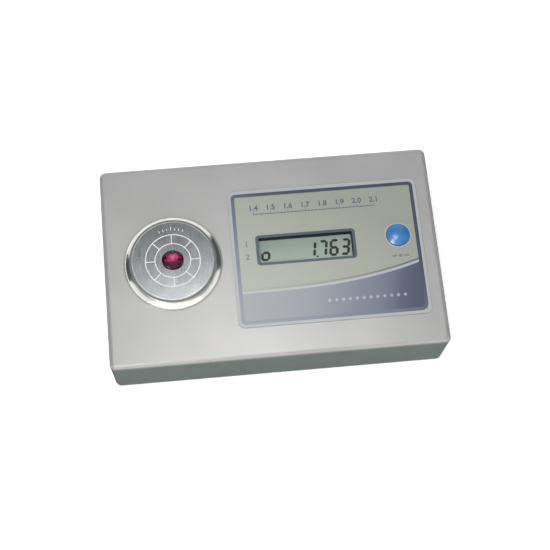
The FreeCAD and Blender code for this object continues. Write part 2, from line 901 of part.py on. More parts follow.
def battery_lead(offset, name):
    """One lead from the back end of the clip up to the underside of the main board."""
    x = battery_right + clip_gap + clip_thickness / 2 + offset
    y = battery_y + clip_length / 2
    low = battery_z + 1.5
    middle = low + 0.45 * (board_low - low)
    points = [
        Vector(x, y, low),
        Vector(x, y + 5.2, low),
        Vector(x + 1.2, y + 9.0, middle),
        Vector(x + 1.2, y + 9.0, board_low),
    ]
    return tube_along(points, lead_wire_radius, name)


def battery_lead_red():
    """The positive lead."""
    return battery_lead(-1.1, "red lead")


def battery_lead_black():
    """The negative lead."""
    return battery_lead(1.1, "black lead")


def battery_pad():
    """The foam block between the battery and the roof."""
    x = (battery_left + battery_right) / 2
    return slab(pad_share * battery_length, pad_share * battery_width, battery_top, ceiling, 1.0, (x, battery_y))


def battery_door():
    """The cover of the battery bay: two tabs at one end and a finger grip at the other."""
    low = base_low
    high = low + door_thickness
    x0 = bay_left + door_gap
    x1 = bay_right - door_gap
    body = slab(x1 - x0, bay_back - bay_front - 2 * door_gap, low, high, door_gap,
                ((x0 + x1) / 2, battery_y))
    tab_low = base_top + tab_gap
    extras = []
    for y in tab_places:
        extras.append(block(x0, x0 + tab_root, y - tab_width / 2, y + tab_width / 2,
                            high, tab_low + tab_thickness))
        extras.append(block(x0 - tab_reach, x0 + tab_root, y - tab_width / 2, y + tab_width / 2,
                            tab_low, tab_low + tab_thickness))
    body = joined([body] + extras)
    for index in range(grip_grooves):
        x = x1 - (index + 2) * grip_pitch
        groove = slab(0.45 * grip_pitch, grip_length, low - 1, low + grip_depth,
                      0.2 * grip_pitch, (x, battery_y))
        body = body.cut(groove)
    return body


# ---------------------------------------------------------------- stone
def facet(stone, azimuth, slope, radius, height, upward):
    """Cut one flat facet: its plane passes through a point on the outline at the azimuth.

    The azimuth and the slope are those of a round stone; the oval's narrower width turns the plane.
    """
    narrow = stone_width / stone_length
    around = math.radians(azimuth)
    lean = math.radians(slope)
    normal = Vector(math.sin(lean) * math.cos(around), math.sin(lean) * math.sin(around) / narrow,
                    upward * math.cos(lean))
    point = Vector(stage_centre[0] + radius * math.cos(around),
                   stage_centre[1] + radius * math.sin(around) * narrow, height)
    size = 3 * stone_length
    cutter = Part.makeBox(size, size, size, Vector(-size / 2, -size / 2, 0))
    cutter.Placement = FreeCAD.Placement(point, FreeCAD.Rotation(UP, normal))
    return stone.cut(cutter)


def test_stone():
    """A loose oval brilliant lying table down over the light hole."""
    low = plate_top + stone_lift
    girdle_low = low + stone_crown
    girdle_high = girdle_low + stone_girdle
    radius = stone_length / 2
    centre = Vector(stage_centre[0], stage_centre[1], low)
    outline = Part.Ellipse(centre, radius, stone_width / 2).toShape()
    height = stone_crown + stone_girdle + stone_pavilion
    stone = Part.Face(Part.Wire(outline)).extrude(Vector(0, 0, height))
    step = 360.0 / stone_mains
    pavilion_slope = math.degrees(math.atan(stone_pavilion / radius))
    table_radius = radius - stone_crown / math.tan(math.radians(stone_crown_slope))
    star_radius = table_radius * (1 + 1 / math.cos(math.radians(step / 2))) / 2
    for index in range(stone_mains):
        main = index * step
        stone = facet(stone, main, stone_crown_slope, radius, girdle_low, -1)
        stone = facet(stone, main, pavilion_slope, radius, girdle_high, 1)
        stone = facet(stone, main + step / 2, stone_star_slope, star_radius, low, -1)
        for side in (-1, 1):
            between = main + side * step / 4
            stone = facet(stone, between, stone_crown_slope + stone_break_slope, radius, girdle_low, -1)
            stone = facet(stone, between, pavilion_slope + stone_break_slope / 2, radius, girdle_high, 1)
    return stone


# ---------------------------------------------------------------- write every node
PIECES = [case_shell, base_plate, case_screws, rubber_feet,
          front_label, display_window, lcd_front_film, lcd_glass, lcd_reflector, contact_strips, lcd_frame,
          test_key, switch_plunger, switch_body,
          stage_gasket, stage_ring, stage_plate, stage_lens, stage_nut,
          optical_block, infrared_emitter, photo_detector, sensor_board, sensor_screws, sensor_cable,
          main_board, board_screws, microcontroller, amplifier_chip, capacitors, crystal, resistors,
          voltage_regulator,
          battery, battery_studs, battery_clip, battery_lead_red, battery_lead_black, battery_pad,
          battery_door, test_stone]

os.makedirs("parts", exist_ok=True)
for piece in PIECES:
    made = piece()
    if isinstance(made, list):
        made = Part.makeCompound(made)
    if not made.isValid():
        print("NOT VALID", piece.__name__)
    made.exportStep(os.path.join("parts", piece.__name__ + ".step"))
    print(piece.__name__, len(made.Solids), "solids", round(made.Volume, 2), "mm3")
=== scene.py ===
# %% [markdown]
# # A small bench refractometer for cut stones, in Blender
# The instrument is a flat metallic-grey box. A round steel stage for the stone stands on its left half, and a
# printed front sheet with a display and one round blue key lies in its right half. The shapes with tight fits
# come from the CAD model, which stays where it is. This lesson gives every one of them a finish, and models the
# print, the display's digits, the stage's marks, the battery's jacket and the foam pad by hand.

# %% Load the frame
import math

import bmesh
import bpy
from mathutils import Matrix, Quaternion, Vector


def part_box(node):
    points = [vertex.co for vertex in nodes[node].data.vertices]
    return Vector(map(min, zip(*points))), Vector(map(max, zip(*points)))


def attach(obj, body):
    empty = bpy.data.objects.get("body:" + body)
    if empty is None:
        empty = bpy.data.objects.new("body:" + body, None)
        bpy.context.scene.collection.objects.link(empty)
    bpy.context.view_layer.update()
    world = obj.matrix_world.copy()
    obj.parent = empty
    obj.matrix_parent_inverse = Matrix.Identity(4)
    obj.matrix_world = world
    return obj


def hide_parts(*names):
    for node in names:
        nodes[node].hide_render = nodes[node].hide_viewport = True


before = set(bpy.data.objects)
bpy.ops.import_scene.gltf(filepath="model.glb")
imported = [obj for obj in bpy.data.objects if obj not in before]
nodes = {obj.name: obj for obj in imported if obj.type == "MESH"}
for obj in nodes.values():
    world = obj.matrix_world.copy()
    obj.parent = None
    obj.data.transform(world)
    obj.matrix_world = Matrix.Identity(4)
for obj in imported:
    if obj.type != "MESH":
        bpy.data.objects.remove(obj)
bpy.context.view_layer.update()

mm = 0.001


def box(name):
    """A CAD node's lowest corner, highest corner and middle, each as x, y and z in mm."""
    low, high = ([value / mm for value in corner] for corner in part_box(name))
    return low, high, [(a + b) / 2 for a, b in zip(low, high)]


case_low, case_high, _ = box("case_shell")
print("case, mm:", [round(b - a, 2) for a, b in zip(case_low, case_high)])

# %% [markdown]
# ## Camera
# The box is looked at from above and a little from its front left, with a long lens, so its sides hardly
# converge. The camera's place is worked out from a turn about the box, a height angle, a distance and a small
# roll. This is easier to read, and to change, than a bare matrix.

# %% Place the camera
camera_turn = math.radians(-10.556)
camera_lift = math.radians(71.729)
camera_roll = math.radians(5.400)
camera_away = 0.55588
camera_aim = Vector((0.00206, 0.00032, 0.00173))
back = Vector((math.sin(camera_turn) * math.cos(camera_lift),
               -math.cos(camera_turn) * math.cos(camera_lift), math.sin(camera_lift)))
camera = bpy.data.objects.new("camera", bpy.data.cameras.new("camera"))
bpy.context.scene.collection.objects.link(camera)
camera.rotation_mode = "QUATERNION"
camera.rotation_quaternion = back.to_track_quat("Z", "Y") @ Quaternion((0, 0, 1), camera_roll)
camera.location = camera_aim + back * camera_away
camera.data.lens = 80.0
camera.data.sensor_width = 36.0
camera.data.clip_start = 0.01
bpy.context.scene.camera = camera
bpy.context.scene.view_settings.view_transform = "Standard"
print("camera at", [round(value, 4) for value in camera.location])

# %% [markdown]
# ## Colours
# A paint picker gives a colour as three numbers from 0 to 255. A shader wants how much light the surface throws
# back, which doesn't grow in step with them. This helper turns one into the other, so that every colour below can
# be read and compared as in a paint program.

# %% Paint picker numbers
def paint(red, green, blue):
    """Paint picker numbers as the linear colour that a shader wants."""
    def linear(value):
        value = value / 255
        return value / 12.92 if value <= 0.04045 else ((value + 0.055) / 1.055) ** 2.4
    return (linear(red), linear(green), linear(blue), 1.0)


print("mid grey as a linear colour:", [round(value, 3) for value in paint(128, 128, 128)])

# %% [markdown]
# ## Wiring a material
# Every finish below is a small node tree: one Principled shader, with noise, ramps and bumps that read the
# object's own coordinates. It could be wired node by node each time. A class that keeps the tree, its shader and
# the place in millimetres makes each finish only as long as what is special about it.

# %% One material and its nodes
class Wiring:
    """One material: its node tree, its main shader, and its place in the object's own millimetres."""

    def __init__(self, name, **sockets):
        self.material = bpy.data.materials.new(name)
        self.material.use_nodes = True
        self.tree = self.material.node_tree
        self.tree.nodes.clear()
        self.shader = self.add("ShaderNodeBsdfPrincipled")
        self.output = self.add("ShaderNodeOutputMaterial")
        self.link(self.shader.outputs["BSDF"], self.output.inputs["Surface"])
        for key, value in sockets.items():
            self.shader.inputs[key.replace("_", " ")].default_value = value
        place = self.add("ShaderNodeTexCoord")
        scale = self.add("ShaderNodeVectorMath", operation="SCALE")
        scale.inputs["Scale"].default_value = 1 / mm
        self.link(place.outputs["Object"], scale.inputs[0])
        self.place = scale.outputs["Vector"]
        self.bumped = None

    def add(self, kind, **settings):
        made = self.tree.nodes.new(kind)
        for key, value in settings.items():
            setattr(made, key, value)
        return made

    def link(self, start, end):
        self.tree.links.new(start, end)

    def axes(self):
        """The place's X, Y and Z, each as its own value."""
        split = self.add("ShaderNodeSeparateXYZ")
        self.link(self.place, split.inputs[0])
        return split.outputs["X"], split.outputs["Y"], split.outputs["Z"]

    def math(self, operation, *values):
        made = self.add("ShaderNodeMath", operation=operation)
        for slot, value in zip(made.inputs, values):
            if isinstance(value, (int, float)):
                slot.default_value = value
            else:
                self.link(value, slot)
        return made.outputs[0]


def offers(kind):
    """Prints what a helper class can do."""
    print(kind.__name__, "offers:", ", ".join(name for name in vars(kind) if not name.startswith("_")))


offers(Wiring)

# %% [markdown]
# ## Steps, ramps and mixes
# A real surface is hardly ever one flat colour. These helpers turn a value, such as noise or a height, into a
# soft edge or a range of colours, and lay one colour over another by a mask. A mask is a value that is 1 where
# something is, and 0 elsewhere.

# %% Steps, ramps and mixes
class Blends(Wiring):
    """Values turned into soft edges and colours."""

    def step(self, value, low, high, start=0.0, end=1.0):
        """A smooth step from `start` to `end` as the value goes from `low` to `high`."""
        made = self.add("ShaderNodeMapRange", interpolation_type="SMOOTHSTEP")
        for key, number in (("From Min", low), ("From Max", high), ("To Min", start), ("To Max", end)):
            made.inputs[key].default_value = number
        self.link(value, made.inputs["Value"])
        return made.outputs["Result"]

    def ramp(self, value, *stops):
        """A colour ramp: stops are (place from 0 to 1, paint picker numbers)."""
        made = self.add("ShaderNodeValToRGB")
        band = made.color_ramp
        while len(band.elements) < len(stops):
            band.elements.new(0.5)
        for element, (at, colour) in zip(band.elements, stops):
            element.position = at
            element.color = paint(*colour)
        self.link(value, made.inputs["Fac"])
        return made.outputs["Color"]

    def two_tone(self, pattern, dark, light):
        """A colour between dark and light that follows a pattern."""
        return self.ramp(pattern, (0.3, dark), (0.7, light))

    def mix(self, mask, first, second):
        """The first colour where the mask is 0, the second where it is 1. Each is numbers or a node's output."""
        made = self.add("ShaderNodeMix", data_type="RGBA")
        factor = [slot for slot in made.inputs if slot.type == "VALUE"][0]
        self.link(mask, factor)
        for slot, value in zip([slot for slot in made.inputs if slot.type == "RGBA"], (first, second)):
            if isinstance(value, tuple):
                slot.default_value = paint(*value)
            else:
                self.link(value, slot)
        return [slot for slot in made.outputs if slot.type == "RGBA"][0]


offers(Blends)

# %% [markdown]
# ## Patterns
# Grain, clouds, lathe circles and stripes are all made from the place on the object. An image would need the
# surface laid out flat, and would blur close up. These patterns stay sharp at any distance and need no layout.

# %% Patterns
class Patterns(Blends):
    """Patterns that several finishes share."""

    def noise(self, size, detail=3.0, stretch=(1, 1, 1), seed=0.0):
        """Cloudy noise whose blobs are about `size` mm across."""
        moved = self.add("ShaderNodeMapping")
        moved.inputs["Scale"].default_value = stretch
        moved.inputs["Location"].default_value = (seed, seed * 0.7, seed * 1.3)
        self.link(self.place, moved.inputs["Vector"])
        made = self.add("ShaderNodeTexNoise")
        made.inputs["Scale"].default_value = 1.0 / size
        made.inputs["Detail"].default_value = detail
        self.link(moved.outputs["Vector"], made.inputs["Vector"])
        return made.outputs["Fac"]

    def away(self, x, y):
        """Distance in mm from the upright line through x, y."""
        across, along, _ = self.axes()
        dx = self.math("SUBTRACT", across, x)
        dy = self.math("SUBTRACT", along, y)
        return self.math("SQRT", self.math("ADD", self.math("MULTIPLY", dx, dx), self.math("MULTIPLY", dy, dy)))

    def turned(self, x, y, fineness):
        """Fine circles round the upright line through x, y, as a lathe leaves them."""
        made = self.add("ShaderNodeTexNoise", noise_dimensions="1D")
        made.inputs["Scale"].default_value = fineness
        made.inputs["Detail"].default_value = 3.0
        self.link(self.away(x, y), made.inputs["W"])
        return made.outputs["Fac"]

    def waves(self, value, pitch):
        """A wave from -1 to 1 that repeats every `pitch` mm."""
        return self.math("SINE", self.math("MULTIPLY", value, 2 * math.pi / pitch))

    def total(self, *terms, start=0.0):
        """`start` plus each value times its share."""
        for value, share in terms:
            start = self.math("MULTIPLY_ADD", value, share, start)
        return start


offers(Patterns)

# %% [markdown]
# ## Masks
# One solid often carries two finishes, such as a plastic body and its metal legs. Cutting it in two would change
# the CAD model. A mask made from the place tells the two apart, and leaves the solid whole.

# %% Masks
class Masks(Patterns):
    """Places on the object, as masks."""

    def off(self, value, middle):
        """How far the value is from the middle, on either side."""
        return self.math("ABSOLUTE", self.math("SUBTRACT", value, middle))

    def inside(self, value, low, high, soft=0.02):
        """1 where the value lies between low and high, else 0."""
        return self.both(self.step(value, low - soft, low + soft),
                         self.step(value, high - soft, high + soft, 1.0, 0.0))

    def over(self, area, grow, soft=0.02):
        """1 over a rectangle (its lowest x, highest x, lowest y and highest y), grown on every side."""
        across, along, _ = self.axes()
        return self.both(self.inside(across, area[0] - grow, area[1] + grow, soft),
                         self.inside(along, area[2] - grow, area[3] + grow, soft))

    def both(self, *masks):
        """1 only where all the masks are 1."""
        made = masks[0]
        for mask in masks[1:]:
            made = self.math("MULTIPLY", made, mask)
        return made

    def either(self, first, second):
        """1 where one of the two masks is 1."""
        return self.math("MAXIMUM", first, second)

    def without(self, mask):
        """1 where the mask is 0, and 0 where it is 1."""
        return self.math("SUBTRACT", 1.0, mask)

    def part(self, mask, share):
        """The mask, at most `share` strong."""
        return self.math("MULTIPLY", mask, share)


offers(Masks)

# %% [markdown]
# ## What a surface gets
# Colour, metal, roughness and bump are what the light meets. Bumps are chained, each one on top of the last, as a
# fine grain lies on top of a slow orange peel.

# %% What a surface gets
class Finish(Masks):
    """A material under construction, and the CAD nodes that it dresses."""

    def colour(self, source):
        self.link(source, self.shader.inputs["Base Color"])

    def metal(self, mask):
        self.link(mask, self.shader.inputs["Metallic"])

    def roughness(self, source):
        self.link(source, self.shader.inputs["Roughness"])

    def rough_with(self, pattern, low, high):
        """Roughness between low and high that follows a pattern."""
        self.roughness(self.step(pattern, 0.3, 0.7, low, high))

    def bump(self, source, height):
        """Raises the surface by up to `height` mm where the source is 1."""
        made = self.add("ShaderNodeBump")
        made.inputs["Distance"].default_value = height * mm
        self.link(source, made.inputs["Height"])
        if self.bumped is not None:
            self.link(self.bumped, made.inputs["Normal"])
        self.bumped = made.outputs["Normal"]
        self.link(self.bumped, self.shader.inputs["Normal"])

    def dress(self, *names):
        """Gives CAD nodes this finish."""
        for name in names:
            nodes[name].material_slots[0].material = self.material
        print(self.material.name, "on", ", ".join(names))


offers(Finish)

# %% [markdown]
# ## A plain grained finish
# Moulded plastic, rubber, vinyl and plain metal differ in colour, gloss and grain, but are built alike: a fine
# grain in colour, roughness and bump, under slow clouds that keep large faces from looking flat. One function
# makes all.

# %% A plain grained finish
def grained(name, light, dark, size=0.4, rough=(0.4, 0.55), height=0.01, stretch=(1, 1, 1), **sockets):
    """A finish with fine grain and slow clouding, whose roughness and bump follow the grain."""
    made = Finish(name, **sockets)
    fine = made.noise(size, 4.0, stretch)
    cloud = made.noise(18.0, 2.0, seed=7.0)
    made.colour(made.two_tone(made.total((fine, 0.6), (cloud, 0.4)), dark, light))
    made.rough_with(fine, *rough)
    made.bump(fine, height)
    return made


print("materials so far:", len(bpy.data.materials))

# %% [markdown]
# ## Floor
# A wide pale floor carries the object's soft shadow. The camera, mirrors and glass see it white, while the light
# that it throws back up comes from a mid grey. Further out it glows by itself, so that it ends in white without
# an edge.

# %% Lay the floor
def clear():
    """Leaves edit mode and selects nothing."""
    if bpy.context.object is not None and bpy.context.object.mode != "OBJECT":
        bpy.ops.object.mode_set(mode="OBJECT")
    bpy.ops.object.select_all(action="DESELECT")


def staged(name, finish):
    """Names the plane just added and gives it its finish."""
    made = bpy.context.object
    made.name = name
    made.data.materials.append(finish.material)
    return made


white, mid_grey = (255, 255, 255), (140, 140, 140)
shadow_reach, glow_from = 300, 900  # mm from the middle: up to the first the floor keeps its shadow
floor_finish = Finish("pale_floor", Roughness=0.9, Specular_IOR_Level=0.0, Emission_Color=paint(*white))
ray = floor_finish.add("ShaderNodeLightPath")
shown = floor_finish.either(ray.outputs["Is Camera Ray"], floor_finish.either(ray.outputs["Is Glossy Ray"],
                                                                              ray.outputs["Is Transmission Ray"]))
floor_finish.colour(floor_finish.mix(shown, mid_grey, white))
glow = floor_finish.step(floor_finish.away(0, 0), shadow_reach, glow_from, 0.42, 1.0)
floor_finish.link(floor_finish.both(shown, glow), floor_finish.shader.inputs["Emission Strength"])
clear()
bpy.ops.mesh.primitive_plane_add(size=24.0, location=(0, 0, 0))
floor = staged("floor", floor_finish)
print("floor, m:", [round(value, 1) for value in floor.dimensions])

# %% [markdown]
# ## Lamps
# A broad soft lamp hangs over the object and gives the plain light of a small product studio. A small one right
# over the case puts the soft sheen on the front half of its top. A brighter one from the front left leaves the
# highlight on the dome of the key, and a long low one with a trace of green lights the front wall.

# %% Hang the lamps
def soft_lamp(name, place, size, radiance, aim=(0, 0, 0.03), tint=(1, 1, 1)):
    """An area lamp whose face looks as bright as `radiance`, where 1 is white. Places and sizes are in metres."""
    lamp = bpy.data.lights.new(name, "AREA")
    lamp.shape = "RECTANGLE"
    lamp.size, lamp.size_y = size
    lamp.energy = radiance * math.pi * size[0] * size[1]
    lamp.color = tint
    made = bpy.data.objects.new(name, lamp)
    bpy.context.scene.collection.objects.link(made)
    made.location = place
    made.rotation_euler = (Vector(place) - Vector(aim)).to_track_quat("Z", "Y").to_euler()


soft_lamp("top_lamp", (-0.20, -0.30, 1.30), (1.0, 1.2), 0.72, aim=(-0.20, -0.30, 0))
soft_lamp("sheen_lamp", (0.008, 0.044, 0.48), (0.13, 0.13), 6.5, aim=(-0.02, -0.05, 0.03))
soft_lamp("spark_lamp", (-0.35, -0.27, 1.145), (0.24, 0.24), 17.8)
soft_lamp("front_lamp", (-0.05, -1.10, 0.42), (1.4, 0.5), 1.8, tint=(0.88, 1.0, 0.975))
print("lamps, W:", {lamp.name: round(lamp.energy, 2) for lamp in bpy.data.lights})

# %% [markdown]
# ## Cards
# Polished steel shows what stands round it, so it needs something to show. A grey card on each side gives the
# ring its two dark arcs, and a pale one in front its bright front. A green-grey card on the floor tints the front
# wall, and a small glowing one overhead is mirrored in the front of the brushed plate. Only reflections see the
# cards.

# %% Set up the cards
def card(name, size, place, lean, colour, glow=0.0):
    """A flat card: its size and place in metres, how it is turned, its colour, and how far it glows."""
    clear()
    bpy.ops.mesh.primitive_plane_add(size=1.0, location=place, rotation=lean)
    made = staged(name, Finish(name, Base_Color=paint(*colour), Roughness=0.9,
                               Emission_Color=paint(*colour), Emission_Strength=glow))
    made.scale = (*size, 1.0)
    made.visible_camera = False
    made.visible_diffuse = False
    made.visible_shadow = False
    print(name, [round(value, 3) for value in size])


def standing_card(name, turn, away, low, high, width, colour, glow=0.0):
    """A card that stands round the object, at `turn` degrees from +X, and reaches from the height low to high."""
    angle = math.radians(turn)
    place = (away * math.cos(angle), away * math.sin(angle), (low + high) / 2)
    card(name, (high - low, width), place, (0, math.pi / 2, angle), colour, glow)


flat = (0, 0, 0)
standing_card("left_card", 166, 0.80, -0.05, 0.95, 0.48, (92, 96, 104))
standing_card("right_card", 27, 0.80, -0.05, 0.90, 0.70, (94, 98, 106))
standing_card("front_card", 268, 0.95, 0.06, 1.25, 1.7, (255, 252, 242), glow=1.0)
card("floor_card", (0.3, 0.6), (0.0, -0.205, 0.002), flat, (40, 92, 82))
card("plate_card", (0.09, 0.04), (-0.058, 0.105, 0.46), flat, white, glow=2.9)

# %% [markdown]
# ## Sky
# The world lights the object evenly in grey. The camera and glass see it white, as the background. Mirrors see it
# white near the horizon and grey overhead, so that flat metal that faces up keeps a middle tone.

# %% Sky
world = bpy.data.worlds.new("studio")
bpy.context.scene.world = world
world.use_nodes = True
sky = world.node_tree
sky.nodes.clear()


def sky_node(kind, *values, **settings):
    """A node of the world, with its inputs in order: numbers, colours or other nodes' outputs."""
    made = sky.nodes.new(kind)
    for key, value in settings.items():
        setattr(made, key, value)
    for slot, value in zip([slot for slot in made.inputs if slot.enabled], values):
        if isinstance(value, (int, float, tuple)):
            slot.default_value = value
        else:
            sky.links.new(value, slot)
    return made


def sky_mix(share, first, second):
    return sky_node("ShaderNodeMix", share, first, second, data_type="RGBA").outputs[2]


bright_sky, even_sky, high_sky = (1.0, 1.0, 1.0, 1.0), (0.42, 0.42, 0.43, 1.0), (0.40, 0.40, 0.41, 1.0)
bright_below, grey_above = 0.45, 0.80  # how steeply a mirrored ray rises: 0 is level and 1 straight up
ray = sky_node("ShaderNodeLightPath").outputs
rise_of_ray = sky_node("ShaderNodeSeparateXYZ", sky_node("ShaderNodeTexCoord").outputs["Generated"]).outputs["Z"]
high = sky_node("ShaderNodeMapRange", rise_of_ray, bright_below, grey_above, 0.0, 1.0,
                interpolation_type="SMOOTHSTEP").outputs["Result"]
unlit = sky_mix(ray["Is Glossy Ray"], even_sky, sky_mix(high, bright_sky, high_sky))
shown = sky_node("ShaderNodeMath", ray["Is Camera Ray"], ray["Is Transmission Ray"],
                 operation="MAXIMUM").outputs[0]
background = sky_node("ShaderNodeBackground", sky_mix(shown, unlit, bright_sky))
sky_node("ShaderNodeOutputWorld", background.outputs[0])
print("sky nodes:", len(sky.nodes))

# %% [markdown]
# ## Paint on the case
# The shell, the base plate and the battery cover are sprayed with a satin silver-grey paint. It has a fine
# mist-like grain, a faint orange peel, and flakes that make it a little metallic, so its top is brighter towards
# the lamp. Along the upper edges it is rubbed a little paler. The walls of the display's opening are painted
# almost black, as painted shade of the deep recess round the display. All this is masks on one material,
# because the paint is one coat.

# %% Case paint
pane_low, pane_high, _ = box("display_window")
pane_lap = 2.0  # how far the pane reaches under the edge of its opening, mm
window = (pane_low[0] + pane_lap, pane_high[0] - pane_lap, pane_low[1] + pane_lap, pane_high[1] - pane_lap)
sheet_low, sheet_high, _ = box("front_label")
flakes = 0.30


def case_paint(name, painted_shade_window=False):
    made = Finish(name, Metallic=flakes)
    fine = made.noise(0.28)
    peel = made.noise(1.6, 2.0, seed=3.0)
    cloud = made.noise(26.0, 2.0, seed=9.0)
    colour = made.two_tone(made.total((fine, 0.6), (cloud, 0.4)), (164, 163, 162), (182, 181, 180))
    across, along, up = made.axes()
    long_over_deep = case_high[0] - case_high[1]
    edge = made.either(made.math("ABSOLUTE", across),
                       made.math("ADD", made.math("ABSOLUTE", along), long_over_deep))
    rub = made.noise(3.2, 4.0, seed=21.0)
    worn = made.both(made.step(edge, case_high[0] - 0.4, case_high[0]), made.step(rub, 0.56, 0.66),
                     made.step(up, case_high[2] - 4.5, case_high[2] - 1.5))
    colour = made.mix(made.part(worn, 0.35), colour, (205, 205, 204))
    # Painted shade: the walls of the display's opening and the pane's recess are painted near black.
    if painted_shade_window:
        below_sheet = made.step(up, sheet_low[2] - 0.05, sheet_low[2] - 0.15)
        window_shade = made.both(made.over(window, 2.6), below_sheet)
        colour = made.mix(window_shade, colour, (7, 12, 24))
        made.metal(made.part(made.without(window_shade), flakes))
    made.colour(colour)
    made.rough_with(fine, 0.31, 0.39)
    made.bump(peel, 0.010)
    made.bump(fine, 0.006)
    return made


case_paint("case_paint", painted_shade_window=True).dress("case_shell")
case_paint("cover_paint").dress("base_plate", "battery_door")
print("display opening, mm:", [round(value, 2) for value in window])

# %% [markdown]
# ## Front sheet
# The sheet is a printed plastic film with a fine velvet texture. Its ground is a warm grey-green, painted
# paler towards the lower left as a painted sheen. Outside the printed border a narrow margin stays silver, and
# the cut edges at the display are painted dark as shade of the recess. The ground belongs to the sheet's own
# material, because it has no edge that could be modelled.

# %% Ground of the front sheet
sheet_top = sheet_high[2]
border = (sheet_low[0] + 1.15, sheet_high[0] - 1.35, sheet_low[1] + 1.35, sheet_high[1] - 1.65)
sheet = Finish("sheet_print_and_painted_light", Metallic=0.1)
across, along, up = sheet.axes()
velvet = sheet.noise(0.22, 2.0)
# Painted sheen: the ground is painted paler towards the lower left.
painted_light_level = sheet.total((across, -0.006), (along, -0.010), (sheet.noise(14.0, 2.0, seed=4.0), 0.10), (velvet, 0.06),
                       start=0.5)
ground = sheet.ramp(painted_light_level, (0.15, (154, 158, 147)), (0.85, (176, 179, 169)))
margin = sheet.without(sheet.over(border, -0.3, soft=0.05))
ground = sheet.mix(margin, ground, (176, 178, 180))
# Painted shade: the sheet's cut edges at the display are painted dark.
cut_edge_shade = sheet.both(sheet.step(up, sheet_top - 0.01, sheet_top - 0.04), sheet.over(window, 0.1))
sheet.colour(sheet.mix(cut_edge_shade, ground, (22, 25, 33)))
sheet.rough_with(velvet, 0.36, 0.46)
sheet.bump(velvet, 0.003)
sheet.dress("front_label")

# %% [markdown]
# ## Primitives
# New pieces start as a primitive at its own size and place. Both then go into its mesh, because a pattern that
# reads the object's coordinates would otherwise stretch and slide with it. A new primitive joins whatever is
# selected, so the selection is cleared first.

# %% Add a primitive
def take(made):
    """Selects this piece alone and makes it the active one."""
    clear()
    made.select_set(True)
    bpy.context.view_layer.objects.active = made


def settle(made):
    """Puts the piece's place, turn and size into its mesh, and leaves the object at the origin."""
    take(made)
    bpy.ops.object.transform_apply(location=True, rotation=True, scale=True)
    return made


def add_box(name, low, high):
    """A box from its lowest to its highest corner, in mm."""
    clear()
    bpy.ops.mesh.primitive_cube_add(size=1.0, location=[(a + b) / 2 * mm for a, b in zip(low, high)],
                                    scale=[(b - a) * mm for a, b in zip(low, high)])
    bpy.context.object.name = name
    return settle(bpy.context.object)


def add_disc(name, x, y, radius, low, high, sides):
    """A round piece that reaches from the height low to high, in mm."""
    clear()
    bpy.ops.mesh.primitive_cylinder_add(vertices=sides, radius=radius * mm, depth=(high - low) * mm,
                                        location=(x * mm, y * mm, (low + high) / 2 * mm))
    bpy.context.object.name = name
    return settle(bpy.context.object)


# %% [markdown]
# ## Edit mode
# Pieces are shaped in edit mode, as by hand. Its tools work on what is selected, so a helper picks vertices,
# edges or faces by where they lie and how far they reach, in place of clicks with the mouse.

# %% Pick in edit mode
thin = 1e-4  # mm: an extent below this counts as none


def edit(made):
    take(made)
    bpy.ops.object.mode_set(mode="EDIT")


def pick(made, kind, test):
    """Selects only the VERT, EDGE or FACE items whose middle and extent, in mm, pass the test."""
    bpy.ops.mesh.select_mode(type=kind)
    bpy.ops.mesh.select_all(action="DESELECT")
    mesh = bmesh.from_edit_mesh(made.data)
    for item in {"VERT": mesh.verts, "EDGE": mesh.edges, "FACE": mesh.faces}[kind]:
        corners = [item.co] if kind == "VERT" else [corner.co for corner in item.verts]
        middle = sum(corners, Vector()) / len(corners) / mm
        spread = [(max(values) - min(values)) / mm for values in zip(*corners)]
        if test(middle, spread):
            item.select_set(True)
    mesh.select_flush_mode()
    bmesh.update_edit_mesh(made.data)


def upright(_, spread):
    return spread[2] > thin and spread[0] < thin and spread[1] < thin


def level(_, spread):
    return spread[2] < thin


print("an edge is upright if it leans less than", thin, "mm")

# %% [markdown]
# ## Round corners and frames
# Two shapes come back often: a plate whose upright corners are round, and a frame, which is such a plate with its
# middle opened. A boolean cut would open it too, but an inset and a bridge leave clean, even faces.

# %% Round corners and open a middle
def round_corners(made, radius, segments=8, where=lambda middle: True):
    """Rounds the upright edges that `where` accepts."""
    edit(made)
    pick(made, "EDGE", lambda middle, spread: upright(middle, spread) and where(middle))
    bpy.ops.mesh.bevel(offset=radius * mm, segments=segments)
    clear()


def open_middle(made, width):
    """Insets the top and bottom faces by `width` and bridges them, which leaves a frame."""
    edit(made)
    pick(made, "FACE", level)
    bpy.ops.mesh.inset(thickness=width * mm, use_individual=True)
    bpy.ops.mesh.bridge_edge_loops()
    clear()


print("room for the print, mm:", [round(border[1] - border[0], 2), round(border[3] - border[2], 2)])

# %% [markdown]
# ## Joining and placing
# What repeats, such as ticks, is joined into one object. A finished piece gets its material, and is told which
# body of the instrument it moves with. All of them ride on the case.

# %% Join and place
def smooth(made, degrees):
    """Smooth shading, but for edges sharper than the angle."""
    take(made)
    bpy.ops.object.shade_smooth_by_angle(angle=math.radians(degrees))


def joined(name, parts):
    """Several pieces as one object."""
    take(parts[0])
    for part in parts:
        part.select_set(True)
    bpy.ops.object.join()
    parts[0].name = name
    return settle(parts[0])


def placed(made, finish):
    """Dresses a finished piece and lets it ride on the case."""
    made.data.materials.clear()
    made.data.materials.append(finish.material)
    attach(made, "case")
    print(made.name, "faces:", len(made.data.polygons))


# %% [markdown]
# ## Printed border
# Ink is a real layer, so each printed shape is a very thin solid that lies on the sheet. The border is a rounded
# plate whose middle is opened by an inset and a bridge. Its ink pales towards the lower left, as the ground does.

# %% Border
ink_low, ink_high = sheet_top - 0.01, sheet_top + 0.025
border_width = 1.55


